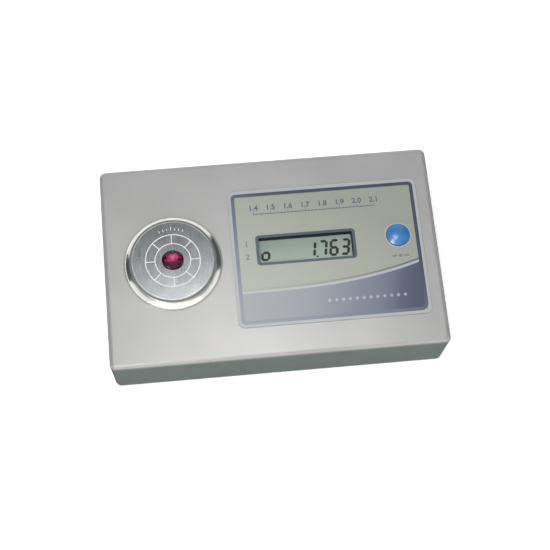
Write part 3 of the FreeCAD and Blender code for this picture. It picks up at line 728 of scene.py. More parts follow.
def fading_ink(name, stops, across_share, along_share, middle):
    """Ink whose colour runs over the sheet through the stops, with a fine screen-print grain."""
    made = Finish(name)
    across, along, _ = made.axes()
    grain = made.noise(0.22, 2.0)
    run = made.total((across, across_share), (along, along_share), (grain, 0.05), start=middle - 0.025)
    made.colour(made.ramp(run, *stops))
    made.rough_with(grain, 0.36, 0.46)
    made.bump(grain, 0.003)
    return made


def front_right(middle):
    return middle.x > 0 and middle.y < 0


print_border = add_box("print_border", (border[0], border[2], ink_low), (border[1], border[3], ink_high))
round_corners(print_border, 2.1, where=lambda middle: not front_right(middle))
round_corners(print_border, 3.2, where=front_right)
open_middle(print_border, border_width)
border_stops = [(0.0, (150, 154, 164)), (0.45, (116, 122, 138)), (0.8, (74, 80, 96)), (1.0, (62, 67, 84))]
placed(print_border, fading_ink("border_ink", border_stops, 0.010, 0.014, 0.45))

# %% [markdown]
# ## Band and its two lines
# The band along the bottom ends above in a long rising curve, with a pale line and a dark line that follow it.
# Each is a box that is divided along its length, and then each column of vertices is moved up to the curve. This
# keeps the top edges of all three exactly parallel.

# %% Band, pale line and dark line
def rise(x):
    """Height of the curve over the sheet, at x, in mm."""
    return -16.0 + 8.1 * max(0.0, (x + 14.0) / 77.0) ** 2.85


def curved_strip(name, x_low, x_high, flat_low, above, below=None, columns=36):
    """A strip from x_low to x_high. Its top edge follows the curve `above` mm over it. Its lower edge is
    straight at flat_low, or follows the curve too, `below` mm over it."""
    made = add_box(name, (x_low, flat_low, ink_low), (x_high, flat_low + 1.0, ink_high))
    edit(made)
    pick(made, "EDGE", lambda middle, spread: spread[0] > 1.0)
    bpy.ops.mesh.subdivide(number_cuts=columns - 1)
    for column in range(columns + 1):
        x = x_low + (x_high - x_low) * column / columns
        pick(made, "VERT", lambda middle, _: abs(middle.x - x) < 0.01 and middle.y > flat_low + 0.5)
        bpy.ops.transform.translate(value=(0, (rise(x) + above - flat_low - 1.0) * mm, 0))
        if below is not None:
            pick(made, "VERT", lambda middle, _: abs(middle.x - x) < 0.01 and abs(middle.y - flat_low) < 0.01)
            bpy.ops.transform.translate(value=(0, (rise(x) + below - flat_low) * mm, 0))
    clear()
    return made


left, right, front = border[0] + border_width, border[1] - border_width, border[2] + border_width
clear_of_band = -40.0  # the lines start as strips well below the band, mm
band_slope, band_start = 0.0129, 0.13  # the ink's run per mm along X, and its value at the middle of the case

print_band = curved_strip("print_band", left, right, front, -0.5)
round_corners(print_band, 1.6, where=lambda middle: middle.x > right - 0.01 and middle.y < -20)
band_stops = [(0.0, (166, 168, 172)), (0.22, (160, 162, 167)), (0.45, (148, 152, 161)), (0.62, (130, 134, 147)),
              (0.78, (113, 118, 136)), (0.90, (82, 89, 110)), (1.0, (70, 77, 99))]
placed(print_band, fading_ink("band_ink", band_stops, band_slope, -0.003, band_start))

print_pale_line = curved_strip("print_pale_line", left, right, clear_of_band, 0.45, -0.5)
pale_stops = [(0.0, (190, 191, 190)), (1.0, (178, 181, 186))]
placed(print_pale_line, fading_ink("pale_ink", pale_stops, band_slope, 0.0, band_start))

print_dark_line = curved_strip("print_dark_line", left, right, clear_of_band, 1.5, 0.8)
line_stops = [(0.0, (172, 174, 166)), (0.45, (150, 153, 148)), (0.65, (128, 133, 134)), (0.85, (100, 106, 114)),
              (1.0, (90, 97, 112))]
placed(print_dark_line, fading_ink("line_ink", line_stops, band_slope, 0.0, band_start))

# %% [markdown]
# ## Print round the display and the key
# A slate frame is printed round the display's opening, and a pale ring round the key. Both are plates with an
# opened middle, as the border is, so the same two helpers make them.

# %% Display frame and key ring
frame_width = 1.25
print_display_frame = add_box("print_display_frame",
                              (window[0] - frame_width, window[2] - frame_width, ink_low),
                              (window[1] + frame_width, window[3] + frame_width, ink_high))
round_corners(print_display_frame, 1.7)
open_middle(print_display_frame, frame_width)
placed(print_display_frame, fading_ink("slate_ink", [(0.0, (80, 92, 104)), (1.0, (70, 81, 94))], 0.016, 0.05, 0.2))

_, _, (key_x, key_y, _) = box("test_key")
key_ring_radius, key_ring_width = 5.75, 0.5
print_key_ring = add_disc("print_key_ring", key_x, key_y, key_ring_radius, ink_low, ink_high, 96)
open_middle(print_key_ring, key_ring_width)
placed(print_key_ring, fading_ink("ring_ink", [(0.0, (184, 189, 188)), (1.0, (178, 183, 182))], 0.012, 0.0, 0.3))

# %% [markdown]
# ## Small marks
# Beside the display stand the numbers of the two modes, and below the key a dash, a dot and a dash. They are
# generic. Digits come from Blender's own font, made a thin solid, and a dash is a bar with rounded ends.

# %% Mode numbers and key marks
def rounded_bar(x, y, length, width, turn=0.0, low=ink_low, high=ink_high):
    """A small flat bar with round ends about the point x, y."""
    made = add_box("bar", (-length / 2, -width / 2, low), (length / 2, width / 2, high))
    round_corners(made, width * 0.45, 3)
    made.rotation_euler.z = turn
    made.location = (x * mm, y * mm, 0)
    return settle(made)


cap_height = 0.70  # of the font, as a share of its size


def number(text, x, y, height, bold):
    """Plain digits `height` mm tall about the point x, y, with strokes grown by `bold` mm."""
    clear()
    bpy.ops.object.text_add(location=(0, 0, 0))
    letters = bpy.context.object.data
    letters.body = text
    letters.size = height / cap_height * mm
    letters.align_x = "CENTER"
    letters.align_y = "CENTER"
    letters.extrude = (ink_high - ink_low) / 2 * mm
    letters.offset = bold * mm
    letters.resolution_u = 4
    bpy.ops.object.convert(target="MESH")
    made = bpy.context.object
    made.location = (x * mm, y * mm, (ink_low + ink_high) / 2 * mm)
    return settle(made)


mode_x, mode_height = -10.7, 2.5
print_mode_numbers = joined("print_mode_numbers", [number("1", mode_x, 5.6, mode_height, 0.10),
                                                   number("2", mode_x, -0.1, mode_height, 0.10)])
placed(print_mode_numbers,
       fading_ink("faint_ink", [(0.0, (130, 133, 134)), (1.0, (136, 138, 138))], 0.012, 0.0, 0.3))

mark_y, dash_away, dash_length, dash_width, dot_radius = key_y - 9.5, 2.6, 2.2, 0.7, 0.75
print_key_marks = joined("print_key_marks", [rounded_bar(key_x - dash_away, mark_y, dash_length, dash_width),
                                             rounded_bar(key_x + dash_away, mark_y, dash_length, dash_width),
                                             add_disc("dot", key_x, mark_y, dot_radius, ink_low, ink_high, 24)])
placed(print_key_marks, fading_ink("mark_ink", [(0.0, (118, 124, 128)), (1.0, (122, 128, 132))], 0.012, 0.0, 0.3))

# %% [markdown]
# ## Number scale
# Along the top of the sheet runs a plain scale of refractive indices: a thin base line, long and short ticks, and
# eight numbers. A tick is the same rounded bar as a dash, turned upright.

# %% Scale line, ticks and numbers
scale_left, scale_right, scale_y = -6.4, 46.8, 19.3
line_width, tick_width, long_tick, short_tick = 0.3, 0.26, 1.05, 0.6
steps, ticks_per_step = 7, 5
pitch = (scale_right - scale_left) / steps
scale_parts = [rounded_bar((scale_left + scale_right) / 2, scale_y,
                           scale_right - scale_left + line_width, line_width)]
for index in range(steps * ticks_per_step + 1):
    tall = long_tick if index % ticks_per_step == 0 else short_tick
    scale_parts.append(rounded_bar(scale_left + pitch * index / ticks_per_step, scale_y + tall / 2,
                                   tall, tick_width, math.pi / 2))
for index in range(steps + 1):
    scale_parts.append(number("%.1f" % (1.4 + index * 0.1), scale_left + pitch * index, scale_y + 2.85,
                              2.35, 0.09))
print_scale = joined("print_scale", scale_parts)
placed(print_scale, fading_ink("scale_ink", [(0.0, (88, 95, 112)), (1.0, (94, 101, 118))], 0.012, 0.0, 0.3))

# %% [markdown]
# ## Lozenges
# On the dark end of the band a row of small pale lozenges fills the place that a maker would use. It is only
# decoration. Each is a small square plate, turned on its corner, that lies on the band's ink.

# %% Pale lozenges on the band
lozenge_half, lozenge_x, lozenge_y, lozenge_pitch = 0.62, 22.6, -22.4, 2.97
lozenges = []
for index in range(12):
    lozenge = add_box("lozenge", (-lozenge_half, -lozenge_half, ink_high - 0.01),
                      (lozenge_half, lozenge_half, ink_high + 0.015))
    lozenge.rotation_euler.z = math.pi / 4
    lozenge.location = ((lozenge_x + index * lozenge_pitch) * mm, lozenge_y * mm, 0)
    lozenges.append(settle(lozenge))
print_lozenges = joined("print_lozenges", lozenges)
placed(print_lozenges,
       fading_ink("lozenge_ink", [(0.0, (186, 188, 194)), (1.0, (150, 155, 172))], 0.02, 0.0, -0.3))

# %% [markdown]
# ## Display
# Behind the clear pane lies the display's front film, a grey-green sheet. Its light and shade are painted into
# its colour: it is painted paler towards its lower edge as front light, with a painted bright line at the foot,
# and painted dark under the back and right walls of the opening as their shade. The pane itself is glass made
# of two shaders: one lets light straight through, and one mirrors it a little by angle. This keeps the digits
# below it sharp, where a refracting glass would need far more samples.

# %% Display film and pane
film_top = box("lcd_front_film")[1][2]
dim_y, lit_y = 6.0, -2.0  # the front light fades between these two, mm
film = Finish("display_film")
across, along, _ = film.axes()
dots = film.noise(0.15, 1.0)
# Painted light: the film is painted paler towards its front edge, where the front light falls.
painted_light_level = film.total((film.step(along, dim_y, lit_y), 1.0), (film.noise(9.0, 2.0), 0.25), (dots, 0.12),
                      start=-0.185)
green = film.ramp(painted_light_level, (0.0, (160, 171, 161)), (1.0, (184, 194, 186)))
# Painted highlight: a bright line along the film's foot.
green = film.mix(film.step(along, window[2] + 1.15, window[2] + 0.75), green, (212, 220, 228))
# Painted shade under the back and right walls of the opening.
shaded = film.either(film.step(along, window[3] - 0.63, window[3] - 0.45),
                     film.step(across, window[1] - 0.55, window[1] - 0.40))
film.colour(film.mix(shaded, green, (20, 27, 28)))
film.rough_with(dots, 0.30, 0.38)
film.bump(dots, 0.001)
film.dress("lcd_front_film")


def thin_glass(name, tint, gloss, ior):
    """Clear glass or plastic that lets lamps and sight straight through and mirrors a little by angle."""
    made = Finish(name)
    see_through = made.add("ShaderNodeBsdfTransparent")
    see_through.inputs["Color"].default_value = paint(*tint)
    mirror = made.add("ShaderNodeBsdfGlossy")
    smear = made.noise(5.0, seed=2.0)
    made.link(made.step(smear, 0.35, 0.75, gloss, gloss + 0.06), mirror.inputs["Roughness"])
    angle = made.add("ShaderNodeFresnel")
    angle.inputs["IOR"].default_value = ior
    outer = made.without(made.add("ShaderNodeNewGeometry").outputs["Backfacing"])
    blend = made.add("ShaderNodeMixShader")
    for slot, source in zip(blend.inputs, (made.both(angle.outputs[0], outer), see_through.outputs[0],
                                           mirror.outputs[0])):
        made.link(source, slot)
    made.tree.nodes.remove(made.shader)
    made.link(blend.outputs[0], made.output.inputs["Surface"])
    return made


thin_glass("clear_pane", (250, 252, 250), 0.03, 1.5).dress("display_window")

# %% [markdown]
# ## Bars of the digits
# The digits are seven-segment figures that lean a little. Every segment is a bar whose two ends are cut to
# points, and there are only two lengths. Each is modelled once, as a box whose upright edges are bevelled with
# one straight cut.

# %% Two bars and where they go
digit_low, digit_high = film_top - 0.005, film_top + 0.03
bar_width, bar_gap = 1.2, 0.08
half_width, half_height = 1.45, 3.25
lean = math.radians(9.0)


def pointed_bar(length):
    """A bar along X whose two ends are cut to points."""
    made = add_box("segment", (-length / 2, -bar_width / 2, digit_low), (length / 2, bar_width / 2, digit_high))
    edit(made)
    pick(made, "EDGE", upright)
    bpy.ops.mesh.bevel(offset=bar_width * 0.44 * mm, segments=1)
    clear()
    return made


lying_bar = pointed_bar(2 * half_width - 2 * bar_gap)
standing_bar = pointed_bar(half_height - 2 * bar_gap)
segment_places = {  # lying or standing, x and y in the digit's own upright frame
    "a": (lying_bar, 0, half_height), "g": (lying_bar, 0, 0), "d": (lying_bar, 0, -half_height),
    "b": (standing_bar, half_width, half_height / 2), "c": (standing_bar, half_width, -half_height / 2),
    "e": (standing_bar, -half_width, -half_height / 2), "f": (standing_bar, -half_width, half_height / 2)}
print("segments:", "".join(sorted(segment_places)))

# %% [markdown]
# ## Digits
# Each digit is made of copies of the two bars, so that all digits are alike, and shows a letter a to g for each
# lit segment. The text tool could type such figures with a special font, but a font is a file from outside.

# %% Digits of the display
def digit(segments, x, y):
    """Copies of the two bars, set up as one leaning digit whose middle is at x, y in mm."""
    parts = []
    for letter in segments:
        source, dx, dy = segment_places[letter]
        take(source)
        bpy.ops.object.duplicate(linked=False)
        part = bpy.context.object
        part.rotation_euler.z = 0 if source is lying_bar else math.pi / 2 - lean
        part.location = ((x + dx + dy * math.tan(lean)) * mm, (y + dy) * mm, 0)
        parts.append(settle(part))
    return parts


digit_y, digit_pitch, last_digit = 2.17, 4.97, 32.35
reading = digit("cdeg", last_digit - 7 * digit_pitch, digit_y)
for place, segments in enumerate(("bc", "abc", "acdefg", "abcdg")):
    reading += digit(segments, last_digit - (3 - place) * digit_pitch, digit_y)
reading.append(add_disc("point", last_digit - 2.54 * digit_pitch, digit_y - half_height - 0.25, 0.45,
                        digit_low, digit_high, 20))
for source in (lying_bar, standing_bar):
    bpy.data.objects.remove(source)
display_digits = joined("display_digits", reading)
digit_ink = Finish("digit_ink", Roughness=0.5)
digit_ink.colour(digit_ink.two_tone(digit_ink.noise(0.2, 2.0), (5, 8, 10), (13, 17, 19)))
placed(display_digits, digit_ink)

# %% [markdown]
# ## Stage plate
# The plate is brushed from front to back, so its grain is noise stretched far along Y. It is a metal whose
# roughness and bump follow the same streaks. The engraved rings and spokes lie lower than the face, and catch the
# light as pale lines: a mask on height paints them. The outermost rim isn't brushed, and is paler and dull.

# %% Brushed plate
_, plate_high, (stage_x, stage_y, _) = box("stage_plate")
plate_top = plate_high[2]
marks_from, marks_to, brushed_to, rim_from = 6.7, 15.5, 17.15, 17.4  # mm from the stage's middle
plate = Finish("brushed_plate")
streak = plate.noise(0.14, stretch=(1.0, 0.02, 1.0))
haze = plate.noise(7.0, 2.0, seed=5.0)
steel = plate.ramp(plate.total((streak, 0.7), (haze, 0.3)), (0.28, (120, 122, 124)), (0.72, (168, 170, 171)))
away = plate.away(stage_x, stage_y)
_, _, up = plate.axes()
cut = plate.both(plate.step(up, plate_top - 0.05, plate_top - 0.08),
                 plate.step(away, marks_to + 0.1, marks_to - 0.1),
                 plate.step(away, marks_from - 0.1, marks_from + 0.1))
rim = plate.step(away, brushed_to, rim_from)
plate.colour(plate.mix(rim, plate.mix(cut, steel, (244, 245, 244)), (190, 192, 194)))
plate.roughness(plate.either(plate.step(streak, 0.3, 0.7, 0.17, 0.23),
                             plate.either(plate.part(cut, 0.7), plate.part(rim, 0.5))))
plate.metal(plate.without(plate.part(cut, 0.9)))
plate.bump(streak, 0.004)
plate.dress("stage_plate")
print("stage's middle, mm:", round(stage_x, 2), round(stage_y, 2), "top:", round(plate_top, 2))

# %% [markdown]
# ## Polished ring
# The ring round the plate is turned and polished. It shows faint circles from the lathe and the smudges of
# fingers, both far finer than any mesh, so they are bump and roughness. Its narrow flat land next to the plate
# isn't polished, and its colour is a painted darker grey, the painted shade of the gap between plate and ring,
# which shows as a dull grey line.

# %% Polished ring
polished_from = 18.78  # mm from the stage's middle
polish = Finish("polished_ring", Metallic=1.0)
smudge = polish.noise(4.0, seed=12.0)
# Painted shade: the land next to the plate is rougher and painted a darker grey.
land_dull_and_shaded = polish.step(polish.away(stage_x, stage_y), polished_from, polished_from - 0.18)
polish.colour(polish.mix(land_dull_and_shaded, polish.two_tone(smudge, (226, 225, 221), (238, 237, 233)), (122, 124, 122)))
polish.roughness(polish.either(polish.step(smudge, 0.3, 0.7, 0.13, 0.20), polish.part(land_dull_and_shaded, 0.55)))
polish.bump(polish.turned(stage_x, stage_y, 9.0), 0.002)
polish.dress("stage_ring")

# %% [markdown]
# ## Index ticks
# Behind the engraved rings stand seven etched ticks, at which a stone is lined up. A mask could paint them, but
# they have sharp ends, so each is a thin bar, turned to point at the stage's middle.

# %% Index ticks on the plate
tick_start, tick_turn, index_width = 13.6, 7.0, 0.34
tick_parts = []
for index in range(-3, 4):
    angle = math.radians(90 - index * tick_turn)
    length = 1.7 if index == 0 else 1.1
    reach = tick_start + length / 2
    tick_parts.append(rounded_bar(stage_x + reach * math.cos(angle), stage_y + reach * math.sin(angle), length,
                                  index_width, angle, plate_top - 0.01, plate_top + 0.02))
stage_ticks = joined("stage_ticks", tick_parts)
etched = Finish("etched_tick")
speck = etched.noise(0.12)
etched.colour(etched.two_tone(speck, (214, 215, 215), (232, 233, 232)))
etched.rough_with(speck, 0.55, 0.7)
placed(stage_ticks, etched)

# %% [markdown]
# ## Test stone
# The stone is a cut red gem. Much of a gem's look is light that has bounced inside it, which needs many samples
# to settle. Half of that is left to real transmission, and the other half is painted light: a colour that runs
# from a painted pink glow in the middle to painted shade, almost black, at the girdle, broken up by noise into
# patches the size of facets.

# %% Stone
stone_low, stone_high, stone_middle = box("test_stone")
stone = Finish("stone_red", Transmission_Weight=0.45, IOR=1.76, Roughness=0.0, Specular_IOR_Level=0.3,
               Specular_Tint=paint(235, 150, 185))
squares = []
for axis, value in enumerate(stone.axes()[:2]):
    shift = stone.math("DIVIDE", stone.math("SUBTRACT", value, stone_middle[axis]),
                       (stone_high[axis] - stone_low[axis]) / 2)
    squares.append(stone.math("MULTIPLY", shift, shift))
# Painted light: a pink glow in the middle and painted shade towards the girdle.
from_middle = stone.math("SQRT", stone.total((squares[0], 0.65), (squares[1], 1.7)))
depth = stone.total((from_middle, 1.0), (stone.noise(1.3, 2.0, seed=8.0), 0.9), start=-0.45)
stone.colour(stone.ramp(depth, (0.10, (255, 140, 190)), (0.40, (226, 54, 120)), (0.60, (96, 8, 44)),
                        (0.88, (26, 2, 12))))
stone.dress("test_stone")

# %% [markdown]
# ## Key and gasket
# The key is a glossy blue plastic dome: a coat of clear gloss over a duller base gives it one soft highlight. The
# gasket under the stage's ring is plain black rubber, seen only as a thin dark line.

# %% Key and gasket
key = Finish("key_blue", Coat_Weight=1.0, Coat_IOR=1.55, Coat_Roughness=0.2, Specular_IOR_Level=0.25)
swirl = key.noise(3.0, 2.0, seed=6.0)
key.colour(key.two_tone(swirl, (46, 116, 180), (52, 123, 188)))
key.rough_with(swirl, 0.30, 0.36)
key.bump(key.noise(0.3, 2.0), 0.002)
key.dress("test_key")
grained("gasket_rubber", (44, 45, 47), (28, 29, 31), rough=(0.6, 0.8), height=0.006).dress("stage_gasket")

# %% [markdown]
# ## Small metal parts
# Screws are bright zinc with a faint yellow bloom, and the big nut under the stage is turned brass. The battery's
# studs are nickel, and the crystal is a drawn steel can. Metal shows mostly its surroundings, so each has only a
# narrow range of colour, and differs in how rough it is and in which way its scratches run.

# %% Screws, nut, studs and the crystal's can
for name in ("case_screws", "board_screws", "sensor_screws"):
    zinc = Finish("zinc_" + name, Metallic=1.0)
    bloom = zinc.noise(1.2, seed=2.0)
    scratch = zinc.noise(0.18, 4.0, stretch=(1.0, 0.2, 1.0), seed=3.0)
    zinc.colour(zinc.ramp(bloom, (0.3, (176, 174, 164)), (0.55, (196, 196, 192)), (0.7, (186, 190, 196))))
    zinc.rough_with(scratch, 0.22, 0.38)
    zinc.bump(scratch, 0.003)
    zinc.dress(name)

brass = Finish("turned_brass", Metallic=1.0)
tarnish = brass.noise(5.0, 4.0, seed=4.0)
brass.colour(brass.two_tone(tarnish, (176, 140, 78), (204, 172, 108)))
brass.rough_with(tarnish, 0.22, 0.34)
brass.bump(brass.turned(stage_x, stage_y, 6.0), 0.006)
brass.dress("stage_nut")

grained("nickel", (198, 194, 184), (176, 172, 164), size=0.5, rough=(0.18, 0.30), height=0.002,
        Metallic=1.0).dress("battery_studs")
grained("drawn_can", (200, 200, 198), (180, 181, 182), size=0.3, rough=(0.20, 0.32), height=0.002,
        stretch=(0.2, 1.0, 1.0), Metallic=1.0).dress("crystal")

# %% [markdown]
# ## Rubber, vinyl and moulded plastic
# The feet are speckled rubber that has picked up dust where it touches the table. The black mouldings inside
# differ only in tone and gloss, so a table and a loop make them, and the two battery leads are glossy vinyl.

# %% Feet, mouldings and leads
feet = Finish("foot_rubber_speckled")
speck = feet.noise(0.35, 4.0)
dust = feet.noise(2.5, 4.0, seed=6.0)
_, _, up = feet.axes()
dusty = feet.both(feet.step(up, 0.25, 0.05), feet.step(dust, 0.46, 0.66))
feet.colour(feet.mix(feet.part(dusty, 0.6), feet.two_tone(speck, (28, 28, 30), (48, 48, 50)), (104, 100, 94)))
feet.rough_with(speck, 0.62, 0.82)
feet.bump(speck, 0.015)
feet.dress("rubber_feet")

for name, light, dark, rough in (("optical_block", 40, 24, (0.50, 0.66)), ("lcd_frame", 46, 32, (0.42, 0.56)),
                                 ("switch_body", 50, 36, (0.38, 0.50)), ("switch_plunger", 92, 76, (0.40, 0.52)),
                                 ("battery_clip", 44, 30, (0.30, 0.42))):
    grained("moulded_" + name, (light, light, light + 2), (dark, dark, dark + 2),
            size=0.35, rough=rough).dress(name)
for name, light, dark in (("battery_lead_red", (190, 38, 34), (160, 24, 26)),
                          ("battery_lead_black", (40, 40, 42), (24, 24, 26))):
    grained("vinyl_" + name, light, dark, size=0.5, rough=(0.32, 0.44), height=0.006).dress(name)

# %% [markdown]
# ## Flat cable and contact strips
# The sensor's cable is a ribbon of six grey wires, the first of them red. The display stands on two strips of
# rubber with thin conducting bars across them. Both are regular stripes, which a sine wave on one axis gives.

# %% Flat cable and contact strips
wire_pitch, bar_pitch = 1.0, 0.5
ribbon = Finish("flat_cable")
_, along, _ = ribbon.axes()
grain = ribbon.noise(0.3)
red_wire = ribbon.step(along, -2.0, -2.1)
ribbon.colour(ribbon.mix(red_wire, ribbon.two_tone(grain, (150, 150, 148), (170, 170, 168)), (176, 58, 50)))
ribbon.rough_with(grain, 0.40, 0.52)
ribbon.bump(ribbon.waves(along, wire_pitch), 0.03)
ribbon.dress("sensor_cable")

strips = Finish("contact_rubber_striped")
across, _, _ = strips.axes()
bars = strips.waves(across, bar_pitch)
cloud = strips.noise(2.0, 2.0)
strips.colour(strips.mix(strips.step(bars, -0.3, 0.3), strips.two_tone(cloud, (26, 26, 28), (38, 38, 40)),
                         (186, 172, 164)))
strips.rough_with(cloud, 0.62, 0.74)
strips.bump(bars, 0.004)
strips.dress("contact_strips")

# %% [markdown]
# ## Glass parts and the display's back
# The display's cell and the lens under the stage's light hole are clear, and take the same thin glass as the
# pane. The display's back is a pearly foil that throws the light forward through the cell.

# %% Glass cell, lens and reflector
thin_glass("display_cell", (222, 232, 226), 0.02, 1.52).dress("lcd_glass")
thin_glass("lens_glass", (240, 246, 248), 0.015, 1.52).dress("stage_lens")
grained("pearl_back", (190, 194, 190), (170, 175, 172), size=0.2, rough=(0.28, 0.36), height=0.002,
        Metallic=0.5).dress("lcd_reflector")

# %% [markdown]
# ## Boards
# The boards are green lacquer over copper. Paler tracks run under the lacquer on a 2.54 mm grid, and the cut
# edges show tan fibre. Noise decides where tracks run across and where along, which costs two masks and no
# geometry.

# %% Circuit boards
grid, track_width, pad_width = 2.54, 0.30, 0.62


def tracks(made, value, gap, wide):
    """Thin lines every `gap` mm along one axis."""
    turn = made.off(made.math("FRACT", made.math("DIVIDE", made.math("ADD", value, 200.0), gap)), 0.5)
    return made.step(turn, 0.5 - wide / gap, 0.5 - wide / gap + 0.03)


for name in ("main_board", "sensor_board"):
    low, high, _ = box(name)
    lacquer = Finish("lacquer_" + name)
    across, along, _ = lacquer.axes()
    fine = lacquer.noise(0.5)
    area = lacquer.noise(9.0, 1.0, seed=3.0)
    lines = lacquer.either(
        lacquer.both(tracks(lacquer, across, grid, track_width), lacquer.step(area, 0.50, 0.52)),
        lacquer.both(tracks(lacquer, along, grid, track_width), lacquer.step(area, 0.46, 0.44)))
    pads = lacquer.both(tracks(lacquer, across, 2 * grid, pad_width), tracks(lacquer, along, 2 * grid, pad_width))
    green = lacquer.two_tone(fine, (20, 82, 50), (28, 98, 60))
    green = lacquer.mix(lacquer.part(lines, 0.8), green, (54, 132, 78))
    green = lacquer.mix(pads, green, (186, 182, 170))
    fibre = lacquer.without(lacquer.over((low[0], high[0], low[1], high[1]), -0.03))
    lacquer.colour(lacquer.mix(fibre, green, (164, 158, 112)))
    lacquer.rough_with(fine, 0.26, 0.36)
    lacquer.bump(lines, 0.03)
    lacquer.dress(name)

# %% [markdown]
# ## Chips, regulator and sensor lamps
# In the CAD model one solid holds a part's body and its metal legs, so a mask on position tells the two apart:
# legs lie beyond a chip's width or over its back, and above or below a certain height on the others.

# %% Chips, regulator and sensor lamps
def legged(name, light, dark, metal, rough=(0.5, 0.62)):
    """A finish for a part whose body is plastic and whose legs, where the mask is 1, are tinned."""
    made = Finish(name)
    fine = made.noise(0.25)
    mask = metal(made)
    made.colour(made.mix(mask, made.two_tone(fine, dark, light), (196, 195, 190)))
    made.metal(mask)
    tinned = 0.24
    made.roughness(made.math("SUBTRACT", made.step(fine, 0.3, 0.7, *rough), made.part(mask, rough[0] - tinned)))
    made.bump(fine, 0.006)
    return made


def beyond(start, end):
    """A mask for legs that begin at the height `start` and go towards `end`."""
    return lambda made: made.step(made.axes()[2], start, end)


def round_body(middle_y, half_width, above):
    """A mask for legs that lie beyond the body's width, or above its back."""
    def metal(made):
        _, along, up = made.axes()
        aside = made.off(along, middle_y)
        return made.either(made.step(aside, half_width + 0.01, half_width + 0.04),
                           made.step(up, above, above + 0.03))
    return metal


leg_drop = 0.5  # the chips hang under the board, and their legs reach this far over their backs, mm
for name, width in (("microcontroller", 9.4), ("amplifier_chip", 6.4)):
    _, high, middle = box(name)
    legged("epoxy_" + name, (46, 46, 48), (32, 32, 34),
           round_body(middle[1], width / 2, high[2] - leg_drop)).dress(name)
regulator_back = box("voltage_regulator")[0][2] + 4.7
legged("epoxy_regulator", (44, 44, 46), (30, 30, 32),
       beyond(regulator_back, regulator_back + 0.03)).dress("voltage_regulator")
lamp_foot = box("infrared_emitter")[0][2] + 3.8
below_foot = beyond(lamp_foot, lamp_foot - 0.05)
legged("emitter_resin", (128, 150, 186), (108, 132, 172), below_foot, rough=(0.10, 0.18)).dress("infrared_emitter")
legged("detector_resin_dark", (52, 34, 62), (38, 24, 48), below_foot, rough=(0.10, 0.18)).dress("photo_detector")

# %% [markdown]
# ## Capacitors
# A capacitor is an aluminium can in a blue shrink sleeve, with a pale stripe down one side and a bare end. The
# face's own direction tells end and stripe from the sleeve, so this works for every can, wherever it stands.

# %% Capacitors
sleeve_top = box("capacitors")[1][2] - 0.4
sleeve = Finish("shrink_sleeve")
fine = sleeve.noise(0.4)
facing = sleeve.add("ShaderNodeSeparateXYZ")
sleeve.link(sleeve.add("ShaderNodeTexCoord").outputs["Normal"], facing.inputs[0])
bare = sleeve.either(sleeve.step(facing.outputs["Z"], -0.80, -0.92),
                     sleeve.step(sleeve.axes()[2], sleeve_top, sleeve_top + 0.03))
stripe = sleeve.step(facing.outputs["Y"], -0.86, -0.90)
cover = sleeve.mix(stripe, sleeve.two_tone(fine, (24, 36, 84), (34, 48, 102)), (188, 192, 200))
sleeve.colour(sleeve.mix(bare, cover, (190, 190, 188)))
sleeve.metal(bare)
sleeve.rough_with(fine, 0.28, 0.38)
sleeve.bump(fine, 0.004)
sleeve.dress("capacitors")

# %% [markdown]
# ## Resistors
# The resistors are beige with coloured rings that give their value. They stand in a row, 4 mm apart, so counting
# the steps of 4 mm along X gives each its own number, and white noise turns that number into a colour of its own.

# %% Resistors
resistor_pitch, first_cell = 4.0, 3.0
body_end, ring_half = 3.10, 0.28
_, _, row = box("resistors")
lacquered = Finish("resistor_bands")
across, along, _ = lacquered.axes()
place = lacquered.math("SUBTRACT", along, row[1])
grain = lacquered.noise(0.3)
cell = lacquered.math("DIVIDE", lacquered.math("SUBTRACT", across, first_cell), resistor_pitch)
dice = lacquered.add("ShaderNodeTexWhiteNoise", noise_dimensions="1D")
lacquered.link(lacquered.math("FLOOR", cell), dice.inputs["W"])
body = lacquered.two_tone(grain, (188, 160, 118), (204, 178, 138))
random_ring = lacquered.ramp(dice.outputs["Value"], (0.0, (110, 62, 34)), (0.3, (176, 40, 34)),
                             (0.55, (206, 110, 36)), (0.8, (196, 176, 52)), (1.0, (60, 118, 66)))
for middle, ink in ((-2.0, random_ring), (-1.0, (42, 38, 38)), (0.0, random_ring), (2.0, (188, 158, 82))):
    body = lacquered.mix(lacquered.inside(place, middle - ring_half, middle + ring_half, 0.03), body, ink)
wire = lacquered.step(lacquered.math("ABSOLUTE", place), body_end, body_end + 0.03)
lacquered.colour(lacquered.mix(wire, body, (194, 192, 186)))
lacquered.metal(wire)
lacquered.rough_with(grain, 0.28, 0.36)
lacquered.bump(grain, 0.004)
lacquered.dress("resistors")

# %% [markdown]
# ## Battery's shape
# The block battery has a rolled rim round each end, and inside the rim a sunken end plate. It is a box with its
# long edges rounded, whose two ends are bevelled, inset and pushed in. Faces at an end are found anew after each
# step, because every step makes new ones.

# %% Battery's shape
cell_low, cell_high, cell_middle = box("battery")
block_battery = add_box("block_battery", cell_low, cell_high)
edit(block_battery)
pick(block_battery, "EDGE", lambda middle, spread: spread[0] > 1.0)
bpy.ops.mesh.bevel(offset=2.2 * mm, segments=6)
for end, push in ((cell_low[0], 0.8), (cell_high[0], -0.8)):
    def at_end(middle, spread):
        return abs(middle.x - end) < 0.01 and spread[0] < 0.01
    pick(block_battery, "FACE", at_end)
    bpy.ops.mesh.region_to_loop()
    bpy.ops.mesh.bevel(offset=0.35 * mm, segments=3)
    pick(block_battery, "FACE", at_end)
    bpy.ops.mesh.inset(thickness=0.5 * mm)
    bpy.ops.mesh.extrude_region_move(TRANSFORM_OT_translate={"value": (push * mm, 0, 0)})
smooth(block_battery, 35)
print("battery, mm:", [round(b - a, 1) for a, b in zip(cell_low, cell_high)])

